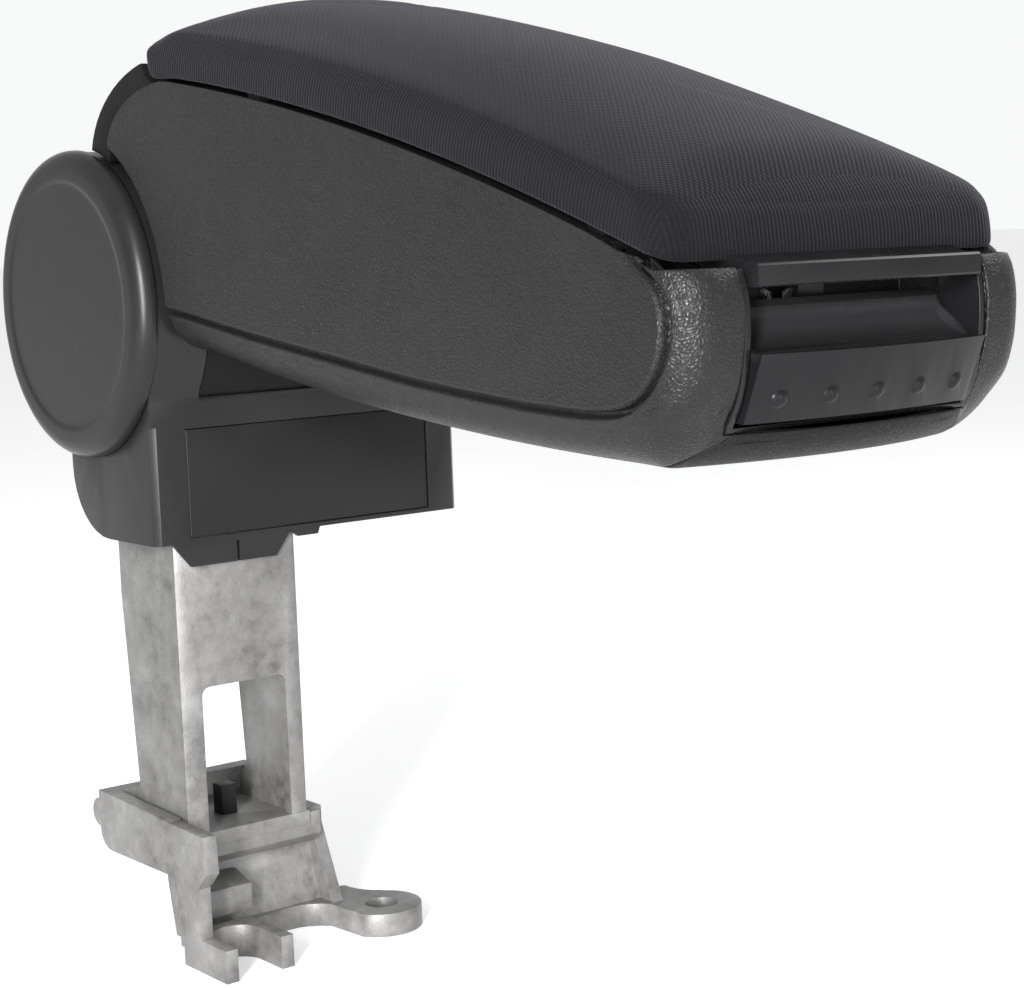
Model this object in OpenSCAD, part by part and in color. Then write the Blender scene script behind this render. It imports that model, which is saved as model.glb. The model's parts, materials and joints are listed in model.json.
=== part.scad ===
// Car centre armrest: a padded storage box that folds up on a drum hinge,
// carried by a cast channel post on a bolted foot.
// The origin is the axis of the foot's ear hole, on the underside of the foot.
// +X points to the nose of the armrest, +Y to its left side, +Z up.

/* [Hinge place] */
// Hinge axis behind the ear hole
hinge_back = 57; // [50:1:65]
// Hinge axis above the foot's underside
hinge_h = 219; // [205:1:240]
// Armrest centre plane beside the ear hole
centre_side = 10; // [6:1:14]

/* [Armrest body] */
// Width over the side shells
body_w = 123; // [117:1:130]
// Hinge axis to the nose
nose_x = 300; // [290:1:320]
// Wall of the shells
shell_t = 3; // [2.4:0.1:3.6]
// Height of the lid seam above the axis, at the rear
seam_rear_z = 69.5; // [68:0.5:71]
// Height of the lid seam above the axis, at the nose
seam_nose_z = 9.0; // [8:0.1:11]
// Rise of the seam's arch
seam_arch = 6.5; // [5:0.5:8]
// Depth of the belly below the axis, at the nose
belly_nose = 39.5; // [37:0.5:44]
// Depth of the belly below the axis, at the rear
belly_rear = 15; // [14:0.5:16]
// Sag of the belly between its ends
belly_sag = 5; // [4:0.5:6]
// Rounding of the belly's long edges
belly_r = 16; // [13:0.5:18]
// Rounding of the nose in plan
nose_r = 10.5; // [9.5:0.5:12]
// Width of the opening in the nose
opening_w = 87; // [84:1:89]
// Height of the raised side panel
panel_rise = 1.2; // [0.8:0.1:1.6]
// Width of the groove round the side panel
groove_w = 2.2; // [1.6:0.1:3]

/* [Lid] */
// Gap between lid and shells
lid_gap = 0.8; // [0.8:0.1:1.2]
// Height of the fabric band under the seam line
skirt_h = 13.5; // [12:0.5:15]
// Height of the padded crown
crown_h = 13.5; // [10:0.5:16]
// Thickness of the lid's plate
lid_plate_t = 3; // [2.5:0.1:3.5]
// Radius of the lid's hinge pin
lid_pin_r = 2; // [1.8:0.1:2.4]

/* [Drum and block] */
// Radius of the drum
drum_r = 51; // [49:0.5:52]
// Radius of the drum's round end caps
cap_r = 51.5; // [50:0.5:53]
// Thickness of an end cap
cap_t = 7; // [6:0.5:8]
// Radius of the ring line on an end cap
cap_ring_r = 41.8; // [38:0.2:44]
// Width of each fixed cheek of the drum
cheek_w = 18.6; // [17:0.2:20]
// Front of the block, ahead of the axis
block_front = 41.4; // [40:0.2:44]
// Rear of the block, behind the axis
block_rear = 15; // [13:1:18]
// Bottom of the block, below the axis
block_bottom = 79; // [78:0.5:84]
// Wall of the drum and block covers
cover_t = 2.5; // [2:0.1:3]
// Width of the flat insert in the block's front
insert_w = 96.8; // [90:0.4:100]

/* [Post] */
// Width of the post
post_w = 46.7; // [44:0.1:50]
// Depth of the post
post_d = 37.8; // [34:0.2:40]
// Wall of the post
post_t = 4; // [3.5:0.1:5]
// Middle of the post beside the armrest's centre plane
post_offset = 31.2; // [29:0.2:33]
// Height of the window in the post's front wall
window_h = 49.6; // [40:0.2:60]

/* [Foot] */
// Radius of the ear's bolt hole
ear_bore_r = 5.7; // [5:0.1:6.5]
// Outer radius of the ear
ear_r = 14; // [13:0.5:16]
// Thickness of the ear plate
ear_t = 8; // [7:0.5:10]
// Width of the fork slot
fork_slot = 16.6; // [14:0.2:18]
// Wall of a fork prong
prong_t = 4.6; // [4:0.2:6]

/* [Fits] */
// Radius of the hinge axle
axle_r = 6; // [5.5:0.1:7]
// Radial clearance of turning pins
run_gap = 0.05; // [0.03:0.01:0.08]
// Clearance between pieces that move past each other
move_gap = 0.8; // [0.6:0.1:1]
// Clearance between pieces that are assembled
seat_gap = 0.25; // [0.2:0.05:0.3]

/* [Hidden] */
$fn = 64;

body_half = body_w / 2;
mid_y = -centre_side;
cheek_in = body_half - cheek_w;
knuckle_w = 2 * (cheek_in - move_gap / 2);

// Seam and belly curves of the armrest in side view
seam_rear_x = 64;
seam_end_x = nose_x - 10;
seam_mid_x = (seam_rear_x + seam_end_x) / 2;
seam_half = (seam_end_x - seam_rear_x) / 2;
function seam_line(x) = seam_rear_z + (seam_nose_z - seam_rear_z) * (x - seam_rear_x) / (2 * seam_half)
    + seam_arch * (1 - pow((x - seam_mid_x) / seam_half, 2));
function seam_z(x) = x < seam_rear_x ? seam_rear_z : x > seam_end_x ? seam_nose_z : seam_line(x);

chin_x = nose_x - 14;
chin_rise = 8.5;
belly_half = (chin_x - seam_rear_x) / 2;
function belly_line(x) = -belly_rear - (belly_nose - belly_rear) * (x - seam_rear_x) / (2 * belly_half)
    - belly_sag * (1 - pow((x - seam_rear_x - belly_half) / belly_half, 2));
chin_end_x = nose_x - 2.5;
function chin_z(x) = -belly_nose + chin_rise * (1 - sqrt(max(0, 1 - pow((x - chin_x) / (chin_end_x - chin_x), 2))));
function belly_z(x) = x < seam_rear_x ? -belly_rear : x > chin_x ? chin_z(x) : belly_line(x);

// Half width in plan, rounded at the nose
nose_c = nose_x - nose_r;
function half_w(x) = x < nose_c ? body_half : body_half - nose_r + sqrt(max(0, nose_r * nose_r - pow(x - nose_c, 2)));

// Lid: the pin lies in the rounded rear end
lid_pin_x = 57;
lid_pin_z = seam_rear_z + 8;
lid_end_r = 7.2;
lid_corner_r = 9;
lid_front_x = seam_end_x;
trough_r = lid_end_r + lid_gap;

// Rear opening round the drum
shell_cut_r = drum_r + 6;
saddle_cut_r = cap_r + 1;
seam_ell_c = [64, 50];
seam_ell_r = [38.5, seam_rear_z - 50];
cover_ell_c = [64, 46];
cover_ell_r = [52, 31.5];

insert_top = -41.4;
insert_t = 1.6;
insert_lip = 1.5;
front_wall = 4;
opening_half = opening_w / 2;
opening_d = 38;
frame_t = 2;

// Post and foot places, from the hinge axis
post_y = -post_offset;
post_rear_x = 1.8;
post_front_x = post_rear_x + post_d;
post_floor_z = 41 - 219;
post_floor_t = 4.6;
head_y = cheek_in + cover_t + 0.8;
window_w = post_w - 14;
window_r = 3;
lug_t = 8;
lug_r = 24;
stop_z = 18.5;
stop_r = 2.5;
cover_screw_at = [[14, 4], [14, 46], [29, 24]];
tub_z0 = 29;
tub_z1 = 49.5;
bolt_x = 20.5;
bolt_y = -29;

module at_hinge() translate([-hinge_back, mid_y, hinge_h]) children();

function arc(cx, cz, rx, rz, a0, a1, n) =
    [for (i = [0:n]) let (a = a0 + (a1 - a0) * i / n) [cx + rx * cos(a), cz + rz * sin(a)]];
function along(x0, x1, n) = [for (i = [0:n]) x0 + (x1 - x0) * i / n];
function reversed(v) = [for (i = [len(v) - 1:-1:0]) v[i]];
function seam_points(x0, x1, n, dz) = [for (x = along(x0, x1, n)) [x, seam_z(x) + dz]];
function belly_points(x0, x1, n, dz) = [for (x = along(x0, x1, n)) [x, belly_z(x) + dz]];

// A side-view outline given a width along Y, from y0 to y1
module side_plate(y0, y1) translate([0, y1, 0]) rotate([90, 0, 0]) linear_extrude(y1 - y0) children();
module both_sides() for (s = [0, 1]) mirror([0, s, 0]) children();
module rod_y(r, y0, y1) translate([0, y0, 0]) rotate([-90, 0, 0]) cylinder(r = r, h = y1 - y0);

// A closed skin through rings that all have the same number of points
module loft(rings) {
    n = len(rings[0]);
    m = len(rings);
    polyhedron(points = [for (r = rings) each r],
        faces = concat([[for (i = [n - 1:-1:0]) i]],
            [for (j = [0:m - 2]) for (i = [0:n - 1]) [j * n + i, j * n + (i + 1) % n, (j + 1) * n + i]],
            [for (j = [0:m - 2]) for (i = [0:n - 1])
                [j * n + (i + 1) % n, (j + 1) * n + (i + 1) % n, (j + 1) * n + i]],
            [[for (i = [0:n - 1]) (m - 1) * n + i]]));
}

// Armrest shell section at x, moved inwards by inset and with its top raised by lift
arc_steps = 5;
function shell_ring(x, inset, lift) =
    let (w = half_w(x) - inset, top = seam_z(x) + lift, low = belly_z(x) + inset, r = belly_r - inset)
    concat([[x, w, top]],
        [for (i = [0:arc_steps]) let (a = 90 * i / arc_steps) [x, w - r + r * cos(a), low + r - r * sin(a)]],
        [for (i = [arc_steps:-1:0]) let (a = 90 * i / arc_steps) [x, r - w - r * cos(a), low + r - r * sin(a)]],
        [[x, -w, top]]);
shell_stations = concat(along(20, nose_c, 14), [for (a = [15:15:90]) nose_c + nose_r * sin(a)]);
module shell_solid(inset, lift) loft([for (x = shell_stations) shell_ring(x, inset, lift)]);

// The nose is rounded in side view, and the chin under it bulges in plan
nose_edge_x = nose_x - 0.8;
nose_mid_z = -3.5;
nose_low_r = [14, 30];
nose_high_r = [7.5, 16.5];
chin_plan_r = 170;
module nose_limits(inset) difference() {
    side_plate(-body_w, body_w) polygon(concat(
        [[0, -100], [nose_x + 1, -100], [nose_x + 1, opening_z - 1.3 * inset],
         [nose_edge_x - nose_low_r.x + (nose_low_r.x - inset) * cos(66), opening_z - 1.3 * inset]],
        arc(nose_edge_x - nose_low_r.x, nose_mid_z, nose_low_r.x - inset, nose_low_r.y - inset, -60, 0, 8),
        arc(nose_edge_x - nose_high_r.x, nose_mid_z, nose_high_r.x - inset, nose_high_r.y - inset, 12, 72, 5),
        [[nose_x - 30, 100], [0, 100]]));
    difference() {
        translate([nose_x - 40, -body_w, -101]) cube([60, 2 * body_w, 101 + opening_z - 1.3 * inset]);
        translate([chin_end_x - chin_plan_r, 0, -102]) cylinder(r = chin_plan_r - inset, h = 110);
    }
}

module shell_wall() difference() {
    intersection() {
        shell_solid(0, 0);
        nose_limits(0);
    }
    intersection() {
        shell_solid(shell_t, 6);
        nose_limits(shell_t);
    }
    nose_opening();
    rod_y(drum_r + move_gap, -body_w, body_w);
    both_sides() rod_y(shell_cut_r, cheek_in - move_gap, body_w);
}

// Opening in the nose for the bar, the finger scoop and the paddle
module nose_opening() translate([nose_x - opening_d, -opening_half, opening_z])
    cube([opening_d + 20, 2 * opening_half, 100]);

// Underside and chin, parted from the side shells
chin_part_x = 292;
belly_part_y = 50;
module chin_zone(gap) {
    side_plate(-belly_part_y + gap, belly_part_y - gap)
        polygon(concat(belly_points(20, nose_x + 5, 16, shell_t + 1), [[nose_x + 5, -90], [20, -90]]));
    side_plate(-body_w, body_w)
        polygon([[chin_part_x + 3 * gap + 20, -28 + 18], [chin_part_x + 3 * gap - 20, -28 - 18],
                 [chin_part_x + 30, -90], [chin_part_x + 40, -10]]);
}

module rear_seam_zone(grow) side_plate(-body_w, body_w)
    polygon(concat(arc(seam_ell_c.x, seam_ell_c.y, seam_ell_r.x + grow, seam_ell_r.y + grow, 180, 90, 12),
        [[nose_x + 10, seam_rear_z + 10], [nose_x + 10, -100], [30, -100], [30, 0], [20, 30]]));

// Outline of the raised side panel, grown by g
panel_arc_r = 22.5;
function panel_outline(g) = concat(
    [[shell_cut_r - 2, -1.8 - g]],
    [for (x = along(80, 262, 6)) [x, panel_low(x) - g]],
    arc(268, -24.6 + panel_arc_r, panel_arc_r + g, panel_arc_r + g, -80, 0, 8),
    [[268 + panel_arc_r + g - 1, 6]],
    reversed(seam_points(seam_rear_x, 280 + g, 10, -1.4 + g)),
    reversed(arc(seam_ell_c.x, seam_ell_c.y, seam_ell_r.x - 2 + g, seam_ell_r.y - 1.4 + g, 170, 100, 6)));
function panel_low(x) = -4 - 20.4 * (x - 80) / 182 - 2.6 * (1 - pow((x - 171) / 91, 2));

module side_shell() {
    ribs = [110, 165, 220];
    difference() {
        union() {
            intersection() {
                difference() {
                    shell_wall();
                    chin_zone(0);
                }
                rear_seam_zone(0);
                translate([-200, -200, -200]) cube([600, 200, 400]);
            }
            difference() {
                side_plate(-body_half - panel_rise, -body_half + 0.5) polygon(panel_outline(0));
                rod_y(shell_cut_r, -body_w, body_w);
            }
            for (x = ribs) shell_rib(x);
        }
        side_plate(-body_half - panel_rise - 1, -body_half + 1) difference() {
            polygon(panel_outline(groove_w));
            polygon(panel_outline(0));
            translate([20, 5]) square([seam_end_x - 20, 100]);
        }
    }
}
module shell_rib(x) side_plate(-body_half + shell_t - 0.5, -tray_half - seat_gap)
    polygon([[x, belly_z(x) + belly_r], [x + 2.5, belly_z(x) + belly_r], [x + 2.5, seam_z(x) - 8], [x, seam_z(x) - 6]]);

module side_shell_right() color("#3b3b3d") at_hinge() side_shell();
module side_shell_left() color("#3b3b3d") at_hinge() mirror([0, 1, 0]) side_shell();

module lower_shell() color("#38383a") at_hinge() {
    difference() {
        intersection() {
            shell_wall();
            chin_zone(seat_gap / 2);
        }
        both_sides() for (x = screw_xs) translate([x, screw_y, -100]) {
            cylinder(r = screw_r + 0.3, h = 200);
            cylinder(r = screw_head_r + 0.6, h = 100 + belly_z(x) + screw_sink);
        }
    }
    both_sides() for (x = screw_xs) translate([x, screw_y, belly_z(x) + shell_t - 0.8]) difference() {
        cylinder(r = 4.5, h = arm_low(x) - belly_z(x) - shell_t);
        translate([0, 0, -20]) cylinder(r = screw_r + 0.3, h = 60);
    }
}

// Metal arm from the drum to under the tray
arm_t = 3;
arm_half = 38;
arm_end_x = 192;
hub_r = 14;
bush_t = 2;
screw_xs = [95, 178];
screw_y = 28;
screw_r = 2;
screw_head_r = 3.6;
screw_head_h = 1.4;
screw_sink = 0.9;
function arm_low(x) = -11 - 0.145 * (x - 65);
module arm_frame() color("#8d9094") at_hinge() difference() {
    union() {
        rod_y(hub_r, -arm_half, arm_half);
        side_plate(-arm_half, arm_half)
            polygon([[10, -9], [40, arm_low(40)], [arm_end_x, arm_low(arm_end_x)],
                     [arm_end_x, arm_low(arm_end_x) + arm_t], [42, arm_low(42) + arm_t], [10, -5]]);
        both_sides() side_plate(arm_half - arm_t, arm_half)
            polygon([[0, hub_r], [-9, -10], [10, -9], [40, arm_low(40)], [arm_end_x, arm_low(arm_end_x)],
                     [arm_end_x, arm_low(arm_end_x) + 6], [86, arm_low(86) + 8], [66, 22], [45, 34], [25, 30]]);
        // Noses that rest on the stop pins
        both_sides() side_plate(arm_half - arm_t, arm_half)
            polygon([[stop_r, -10], [stop_r, -stop_z - 3], [stop_r + 5, -stop_z - 2.5], [stop_r + 12, -8]]);
    }
    rod_y(axle_r + bush_t, -60, 60);
    both_sides() for (x = screw_xs, dx = [0, 8]) translate([x + dx, screw_y, -100]) cylinder(r = screw_r, h = 200);
    side_plate(-arm_half + 10, -12) polygon([[55, -40], [85, -40], [85, 20], [55, 20]]);
    side_plate(12, arm_half - 10) polygon([[55, -40], [85, -40], [85, 20], [55, 20]]);
}

module hub_bushes() color("#d8d6cc") at_hinge() both_sides() difference() {
    union() {
        rod_y(axle_r + bush_t - 0.02, arm_half - 16, arm_half + 0.1);
        rod_y(hub_r - 2, arm_half + 0.1, head_y - 0.3);
    }
    rod_y(axle_r + run_gap, 0, 60);
}

// Rear cover: a saddle over the drum and the moving middle of the drum
knuckle_t = 2.5;
module saddle_profile(inset) polygon(concat(
    arc(cover_ell_c.x, cover_ell_c.y, cover_ell_r.x - inset, cover_ell_r.y - inset, 176, inset > 0 ? 117 : 109, 12),
    arc(lid_pin_x, lid_pin_z, trough_r + inset, trough_r + inset, inset > 0 ? 206 : 190, 292, 8),
    [[68, seam_rear_z - 2 - inset], [68, 20], [20, 20]]));
module rear_cover() color("#303133") at_hinge() {
    difference() {
        union() {
            difference() {
                side_plate(-body_half, body_half) saddle_profile(0);
                side_plate(-body_half + knuckle_t, body_half - knuckle_t) saddle_profile(knuckle_t);
                rear_seam_zone(seat_gap);
                rod_y(saddle_cut_r, -body_w, body_w);
            }
            intersection() {
                side_plate(-body_half + shell_t + seat_gap, body_half - shell_t - seat_gap) difference() {
                    saddle_profile(0);
                    saddle_profile(knuckle_t);
                    circle(saddle_cut_r);
                    translate([0, -50]) square([140, 100]);
                }
                translate([0, -100, 0]) cube([seam_rear_x + 1, 200, 120]);
            }
            difference() {
                side_plate(-knuckle_w / 2, knuckle_w / 2) difference() {
                    circle(drum_r, $fn = 96);
                    circle(drum_r - knuckle_t, $fn = 96);
                    polygon([[0, 0], [80, -24], [90, 0], [80, 60], [26, 56]]);
                }
            }
            side_plate(-knuckle_w / 2, knuckle_w / 2) polygon([[9, 48.5], [14, 46.5], [20, 57], [14, 54], [11.5, 50]]);
            both_sides() side_plate(arm_half + seat_gap, arm_half + seat_gap + 2.2)
                polygon([[18, 20], [30, 20], [50, 62], [40, 66], [26, 60], [16, 50]]);
            both_sides() side_plate(ear_in, ear_in + ear_w)
                polygon(concat(arc(lid_pin_x, lid_pin_z, 4.4, 4.4, 0, 180, 10),
                    [[lid_pin_x - 4.4, seam_rear_z - 1.2], [lid_pin_x + 4.4, seam_rear_z - 1.2]]));
        }
        translate([lid_pin_x, 0, lid_pin_z]) rod_y(lid_pin_r, -body_w, body_w);
    }
}
ear_in = 25;
ear_w = 6;

// Open box under the lid
tray_half = 52;
tray_t = 2;
tray_x0 = 92;
tray_x1 = nose_x - 32;
tray_lift = 7;
function tray_low(x) = arm_low(x) + arm_t + tray_lift;
module tray_profile(t) polygon(concat(
    [[tray_x0 + t, tray_low(tray_x0) + t], [tray_x1 - t, tray_low(tray_x1) + t]],
    reversed(seam_points(tray_x0 + t, tray_x1 - t, 10, t > 0 ? 5 : -lid_gap - 0.5))));
module storage_tray() color("#232325") at_hinge() {
    difference() {
        union() {
            side_plate(-tray_half, tray_half) tray_profile(0);
            side_plate(-body_half + shell_t + seat_gap, body_half - shell_t - seat_gap)
                polygon(concat(seam_points(tray_x0 - 24, tray_x1, 12, -lid_gap - 2.5),
                    reversed(seam_points(tray_x0 - 24, tray_x1, 12, -lid_gap - 0.5))));
        }
        side_plate(-tray_half + tray_t, tray_half - tray_t) tray_profile(tray_t);
        both_sides() for (x = screw_xs) translate([x + 8, screw_y, -100]) cylinder(r = screw_r + 0.3, h = 200);
    }
    both_sides() for (x = screw_xs) translate([x + 8, screw_y, 0]) difference() {
        translate([0, 0, arm_low(x + 8) + arm_t + 0.8]) cylinder(r = 5, h = tray_lift - 0.6);
        translate([0, 0, -100]) cylinder(r = screw_r + 0.3, h = 200);
    }
}

// Black frame in the nose, which carries the paddle and the catch
paddle_pin_x = nose_x - 12;
paddle_pin_z = -26;
paddle_pin_r = 1.5;
opening_z = -belly_nose + chin_rise;
frame_x0 = tray_x1 + 1;
module front_frame() color("#1c1c1e") at_hinge() difference() {
    union() {
        intersection() {
            union() {
                both_sides() side_plate(opening_half - frame_t - 0.3, opening_half - 0.3)
                    polygon([[frame_x0, belly_z(frame_x0) + shell_t + 3], [chin_x, opening_z + 0.3],
                             [nose_x, opening_z + 0.3], [nose_x, seam_nose_z - 0.6],
                             [lid_front_x - 6, seam_nose_z - 0.6], [frame_x0, seam_z(frame_x0) - 3]]);
                side_plate(-opening_half + 0.3, opening_half - 0.3)
                    polygon([[frame_x0, belly_z(frame_x0) + shell_t + 3], [chin_x, opening_z + 0.3],
                             [nose_x, opening_z + 0.3], [nose_x, opening_z + 1.5],
                             [chin_x, opening_z + 1.5], [frame_x0 + 2, belly_z(frame_x0) + shell_t + 6],
                             [frame_x0 + 2, seam_z(frame_x0) - 3], [frame_x0, seam_z(frame_x0) - 3]]);
            }
            nose_limits(0.8);
        }
        both_sides() side_plate(-20, -14)
            polygon([[frame_x0 + 1, opening_z - 1.4], [paddle_pin_x + 2.4, opening_z + 1],
                     [paddle_pin_x + 2.4, paddle_pin_z + 2], [paddle_pin_x - 2, paddle_pin_z + 3], [frame_x0 + 1, -20]]);
    }
    translate([paddle_pin_x, 0, paddle_pin_z]) rod_y(paddle_pin_r, -body_w, body_w);
}

// Lever with a finger scoop above and a dotted face below, which bulges in plan
paddle_half = opening_half - frame_t - 1.3;
paddle_top_z = -12;
paddle_low_x = nose_x - 6;
paddle_low_z = -28.6;
paddle_tilt = atan((nose_x + 0.3 - paddle_low_x) / (paddle_top_z - 1 - paddle_low_z));
paddle_wall = 2.4;
paddle_bulge = 3.6;
paddle_plan_r = (pow(paddle_half, 2) + pow(paddle_bulge, 2)) / (2 * paddle_bulge);
dot_pitch = 15.7;
dot_z = -23;
function bulge(y) = sqrt(pow(paddle_plan_r, 2) - y * y) - paddle_plan_r + paddle_bulge;
function face_x(y, z) = paddle_low_x + (z - paddle_low_z) * tan(paddle_tilt) + bulge(y) / cos(paddle_tilt);
module paddle_bow(inset) translate([paddle_low_x, 0, paddle_low_z]) rotate([0, paddle_tilt, 0])
    translate([paddle_bulge - paddle_plan_r, 0, -60]) cylinder(r = paddle_plan_r - inset, h = 120, $fn = 180);
module release_paddle() color("#202022") at_hinge() {
    difference() {
        union() {
            difference() {
                intersection() {
                    side_plate(-paddle_half, paddle_half)
                        polygon(concat([[paddle_low_x - 2.4, paddle_low_z + 0.3], [paddle_low_x - 1, paddle_low_z],
                            [nose_x, paddle_low_z], [nose_x + 6, paddle_top_z]],
                            arc(nose_x - 1, paddle_top_z + 11, 14, 10.6, 268, 182, 8),
                            [[nose_x - 17, 0.4], [nose_x - 17, -2], [nose_x - 15.6, -2]]));
                    paddle_bow(0);
                }
                intersection() {
                    side_plate(-body_w, body_w)
                        polygon(concat([[paddle_low_x + 4, paddle_low_z - 1], [nose_x + 4, paddle_top_z - 2.6]],
                            arc(nose_x - 1, paddle_top_z + 11, 15.2, 12.4, 262, 185, 8),
                            [[nose_x - 30, -2], [nose_x - 30, -40]]));
                    paddle_bow(paddle_wall);
                }
            }
            both_sides() side_plate(paddle_half - 2, paddle_half)
                polygon([[paddle_pin_x - 2.6, paddle_low_z + 0.4], [paddle_low_x - 1, paddle_low_z + 0.2],
                         [nose_x - 1, paddle_top_z - 1], [nose_x - 13.6, -4], [nose_x - 15, -2], [paddle_pin_x - 2.6, -18]]);
            both_sides() side_plate(8, 13.4)
                polygon([[paddle_pin_x - 2.6, paddle_low_z + 0.2], [paddle_low_x + 1, paddle_low_z + 0.4],
                         [nose_x + 1, paddle_top_z - 3], [nose_x - 5, paddle_top_z - 2], [paddle_pin_x - 2.6, paddle_pin_z + 6]]);
            for (i = [-2:2]) translate([face_x(i * dot_pitch, dot_z), i * dot_pitch, dot_z]) rotate([0, 90 + paddle_tilt, 0])
                translate([0, 0, -2.2]) sphere(r = 3.4, $fn = 24);
        }
        both_sides() translate([paddle_pin_x, 0, paddle_pin_z]) rod_y(paddle_pin_r + run_gap, 0, 60);
    }
}

module paddle_pin() color("#b9bbbe") at_hinge() translate([paddle_pin_x, 0, paddle_pin_z]) both_sides()
    rod_y(paddle_pin_r, 7, 21);

// Coil springs between the frame and the paddle's ribs
spring_r = 2.6;
spring_wire_r = 0.5;
spring_turns = 5;
spring_x0 = frame_x0 + frame_t + spring_wire_r + 0.1;
spring_x1 = paddle_pin_x - 2.6 - spring_wire_r - 0.1;
function coil_ring(i, steps) = let (u = i / steps, a = 360 * spring_turns * u, x = spring_x0 + (spring_x1 - spring_x0) * u)
    [for (j = [0:5]) let (b = 60 * j, r = spring_r + spring_wire_r * cos(b)) [x + spring_wire_r * sin(b), r * cos(a), r * sin(a)]];
module coil() loft([for (i = [0:12 * spring_turns]) coil_ring(i, 12 * spring_turns)]);
module paddle_spring() color("#a5a7a9") at_hinge() both_sides() translate([0, 10.7, -23]) coil();

// Sprung clip that the lid's catch snaps through
module latch_clip() color("#c0c2c4") at_hinge() side_plate(-5, 5) translate([frame_x0, 0])
    polygon([[2.2, -16], [3, -16], [3.2, -6], [4.6, -2.6], [4.6, 0.6], [6.3, 1.8], [5.9, 2.4], [4, 1.4], [3.8, -2.2], [2.2, -5.6]]);

module lid_pin() color("#b9bbbe") at_hinge() translate([lid_pin_x, 0, lid_pin_z]) rod_y(lid_pin_r, -38, 38);

// Lid plate with its hinge eyes, inner flange, catch and front bar
eye_in = ear_in - 5.4;
lid_plate_x0 = 72;
bar_half = opening_half - frame_t - 1.6;
bar_top_z = seam_nose_z + 0.7;
module lid_base() color("#1e1e20") at_hinge() difference() {
    union() {
        side_plate(-body_half + 4, body_half - 4)
            polygon(concat(seam_points(lid_plate_x0, lid_front_x - 4, 12, lid_gap),
                reversed(seam_points(lid_plate_x0, lid_front_x - 4, 12, lid_gap + lid_plate_t))));
        both_sides() side_plate(tray_half - tray_t - 3, tray_half - tray_t - 1)
            polygon(concat(seam_points(tray_x0 + 8, tray_x1 - 12, 8, -4),
                reversed(seam_points(tray_x0 + 8, tray_x1 - 12, 8, lid_gap + 0.5))));
        side_plate(-tray_half + tray_t + 1, tray_half - tray_t - 1)
            polygon([[tray_x1 - 14, seam_z(tray_x1 - 14) - 4], [tray_x1 - 12, seam_z(tray_x1 - 12) - 4],
                     [tray_x1 - 12, seam_z(tray_x1 - 12) + lid_gap + 0.5], [tray_x1 - 14, seam_z(tray_x1 - 14) + lid_gap + 0.5]]);
        side_plate(-bar_half, bar_half)
            polygon([[lid_front_x - 5, seam_nose_z + lid_gap + 2.6], [lid_front_x - 5, seam_nose_z + lid_gap],
                     [nose_x - 7, bar_top_z - 3.1], [nose_x - 6.4, 4.6], [nose_x - 5, 4], [nose_x - 0.5, 4],
                     [nose_x, 4.6], [nose_x, bar_top_z - 0.6], [nose_x - 0.6, bar_top_z],
                     [nose_x - 6, bar_top_z + 0.4], [lid_front_x - 2, seam_nose_z + lid_gap + 2.6]]);
        side_plate(-4.5, 4.5)
            polygon([[frame_x0 + 7, seam_z(frame_x0 + 7) + lid_gap + 0.5], [frame_x0 + 7, 0.8], [frame_x0 + 5.3, -1.4],
                     [frame_x0 + 7, -5], [frame_x0 + 9, -5], [frame_x0 + 9.6, seam_z(frame_x0 + 9.6) + lid_gap + 0.5]]);
        both_sides() for (y = [eye_in, ear_in + ear_w + 0.4]) side_plate(y, y + 5)
            polygon(concat(arc(lid_pin_x, lid_pin_z, 4.4, 4.4, 60, 300, 10),
                [[lid_plate_x0 + 2, seam_z(lid_plate_x0 + 2) + lid_gap], [lid_plate_x0 + 5, seam_z(lid_plate_x0 + 5) + lid_gap + lid_plate_t]]));
    }
    translate([lid_pin_x, 0, lid_pin_z]) rod_y(lid_pin_r + run_gap, -body_w, body_w);
}

// Padded top with a fabric band round its sides
lid_half = body_half - 0.3;
lid_c = lid_front_x - lid_corner_r;
function lid_w(x) = x < lid_c ? lid_half : lid_half - lid_corner_r + sqrt(max(0, pow(lid_corner_r, 2) - pow(x - lid_c, 2)));
function crown(x) = crown_h * (1 - 0.6 * pow(max(0, (110 - x) / 51), 2)) * (1 - 0.3 * max(0, (x - 190) / 100))
    * (1 - 0.62 * pow(max(0, (x - lid_c) / lid_corner_r), 3));
lid_arc_steps = 12;
function lid_ring(x) = let (w = lid_w(x), low = seam_z(x) + lid_gap, high = low + skirt_h, c = crown(x))
    reversed(concat([[x, w, low], [x, w + 0.1, high - 1.5]],
        [for (i = [0:lid_arc_steps]) let (u = 1 - 2 * i / lid_arc_steps)
            [x, (w - 1.2) * u, high + c * (1 - pow(abs(u), 2.4))]],
        [[x, -w - 0.1, high - 1.5], [x, -w, low]]));
lid_stations = concat([lid_pin_x, 64, 70, 78, 88], along(100, lid_c, 10), [for (a = [22.5:22.5:90]) lid_c + lid_corner_r * sin(a)]);
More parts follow.
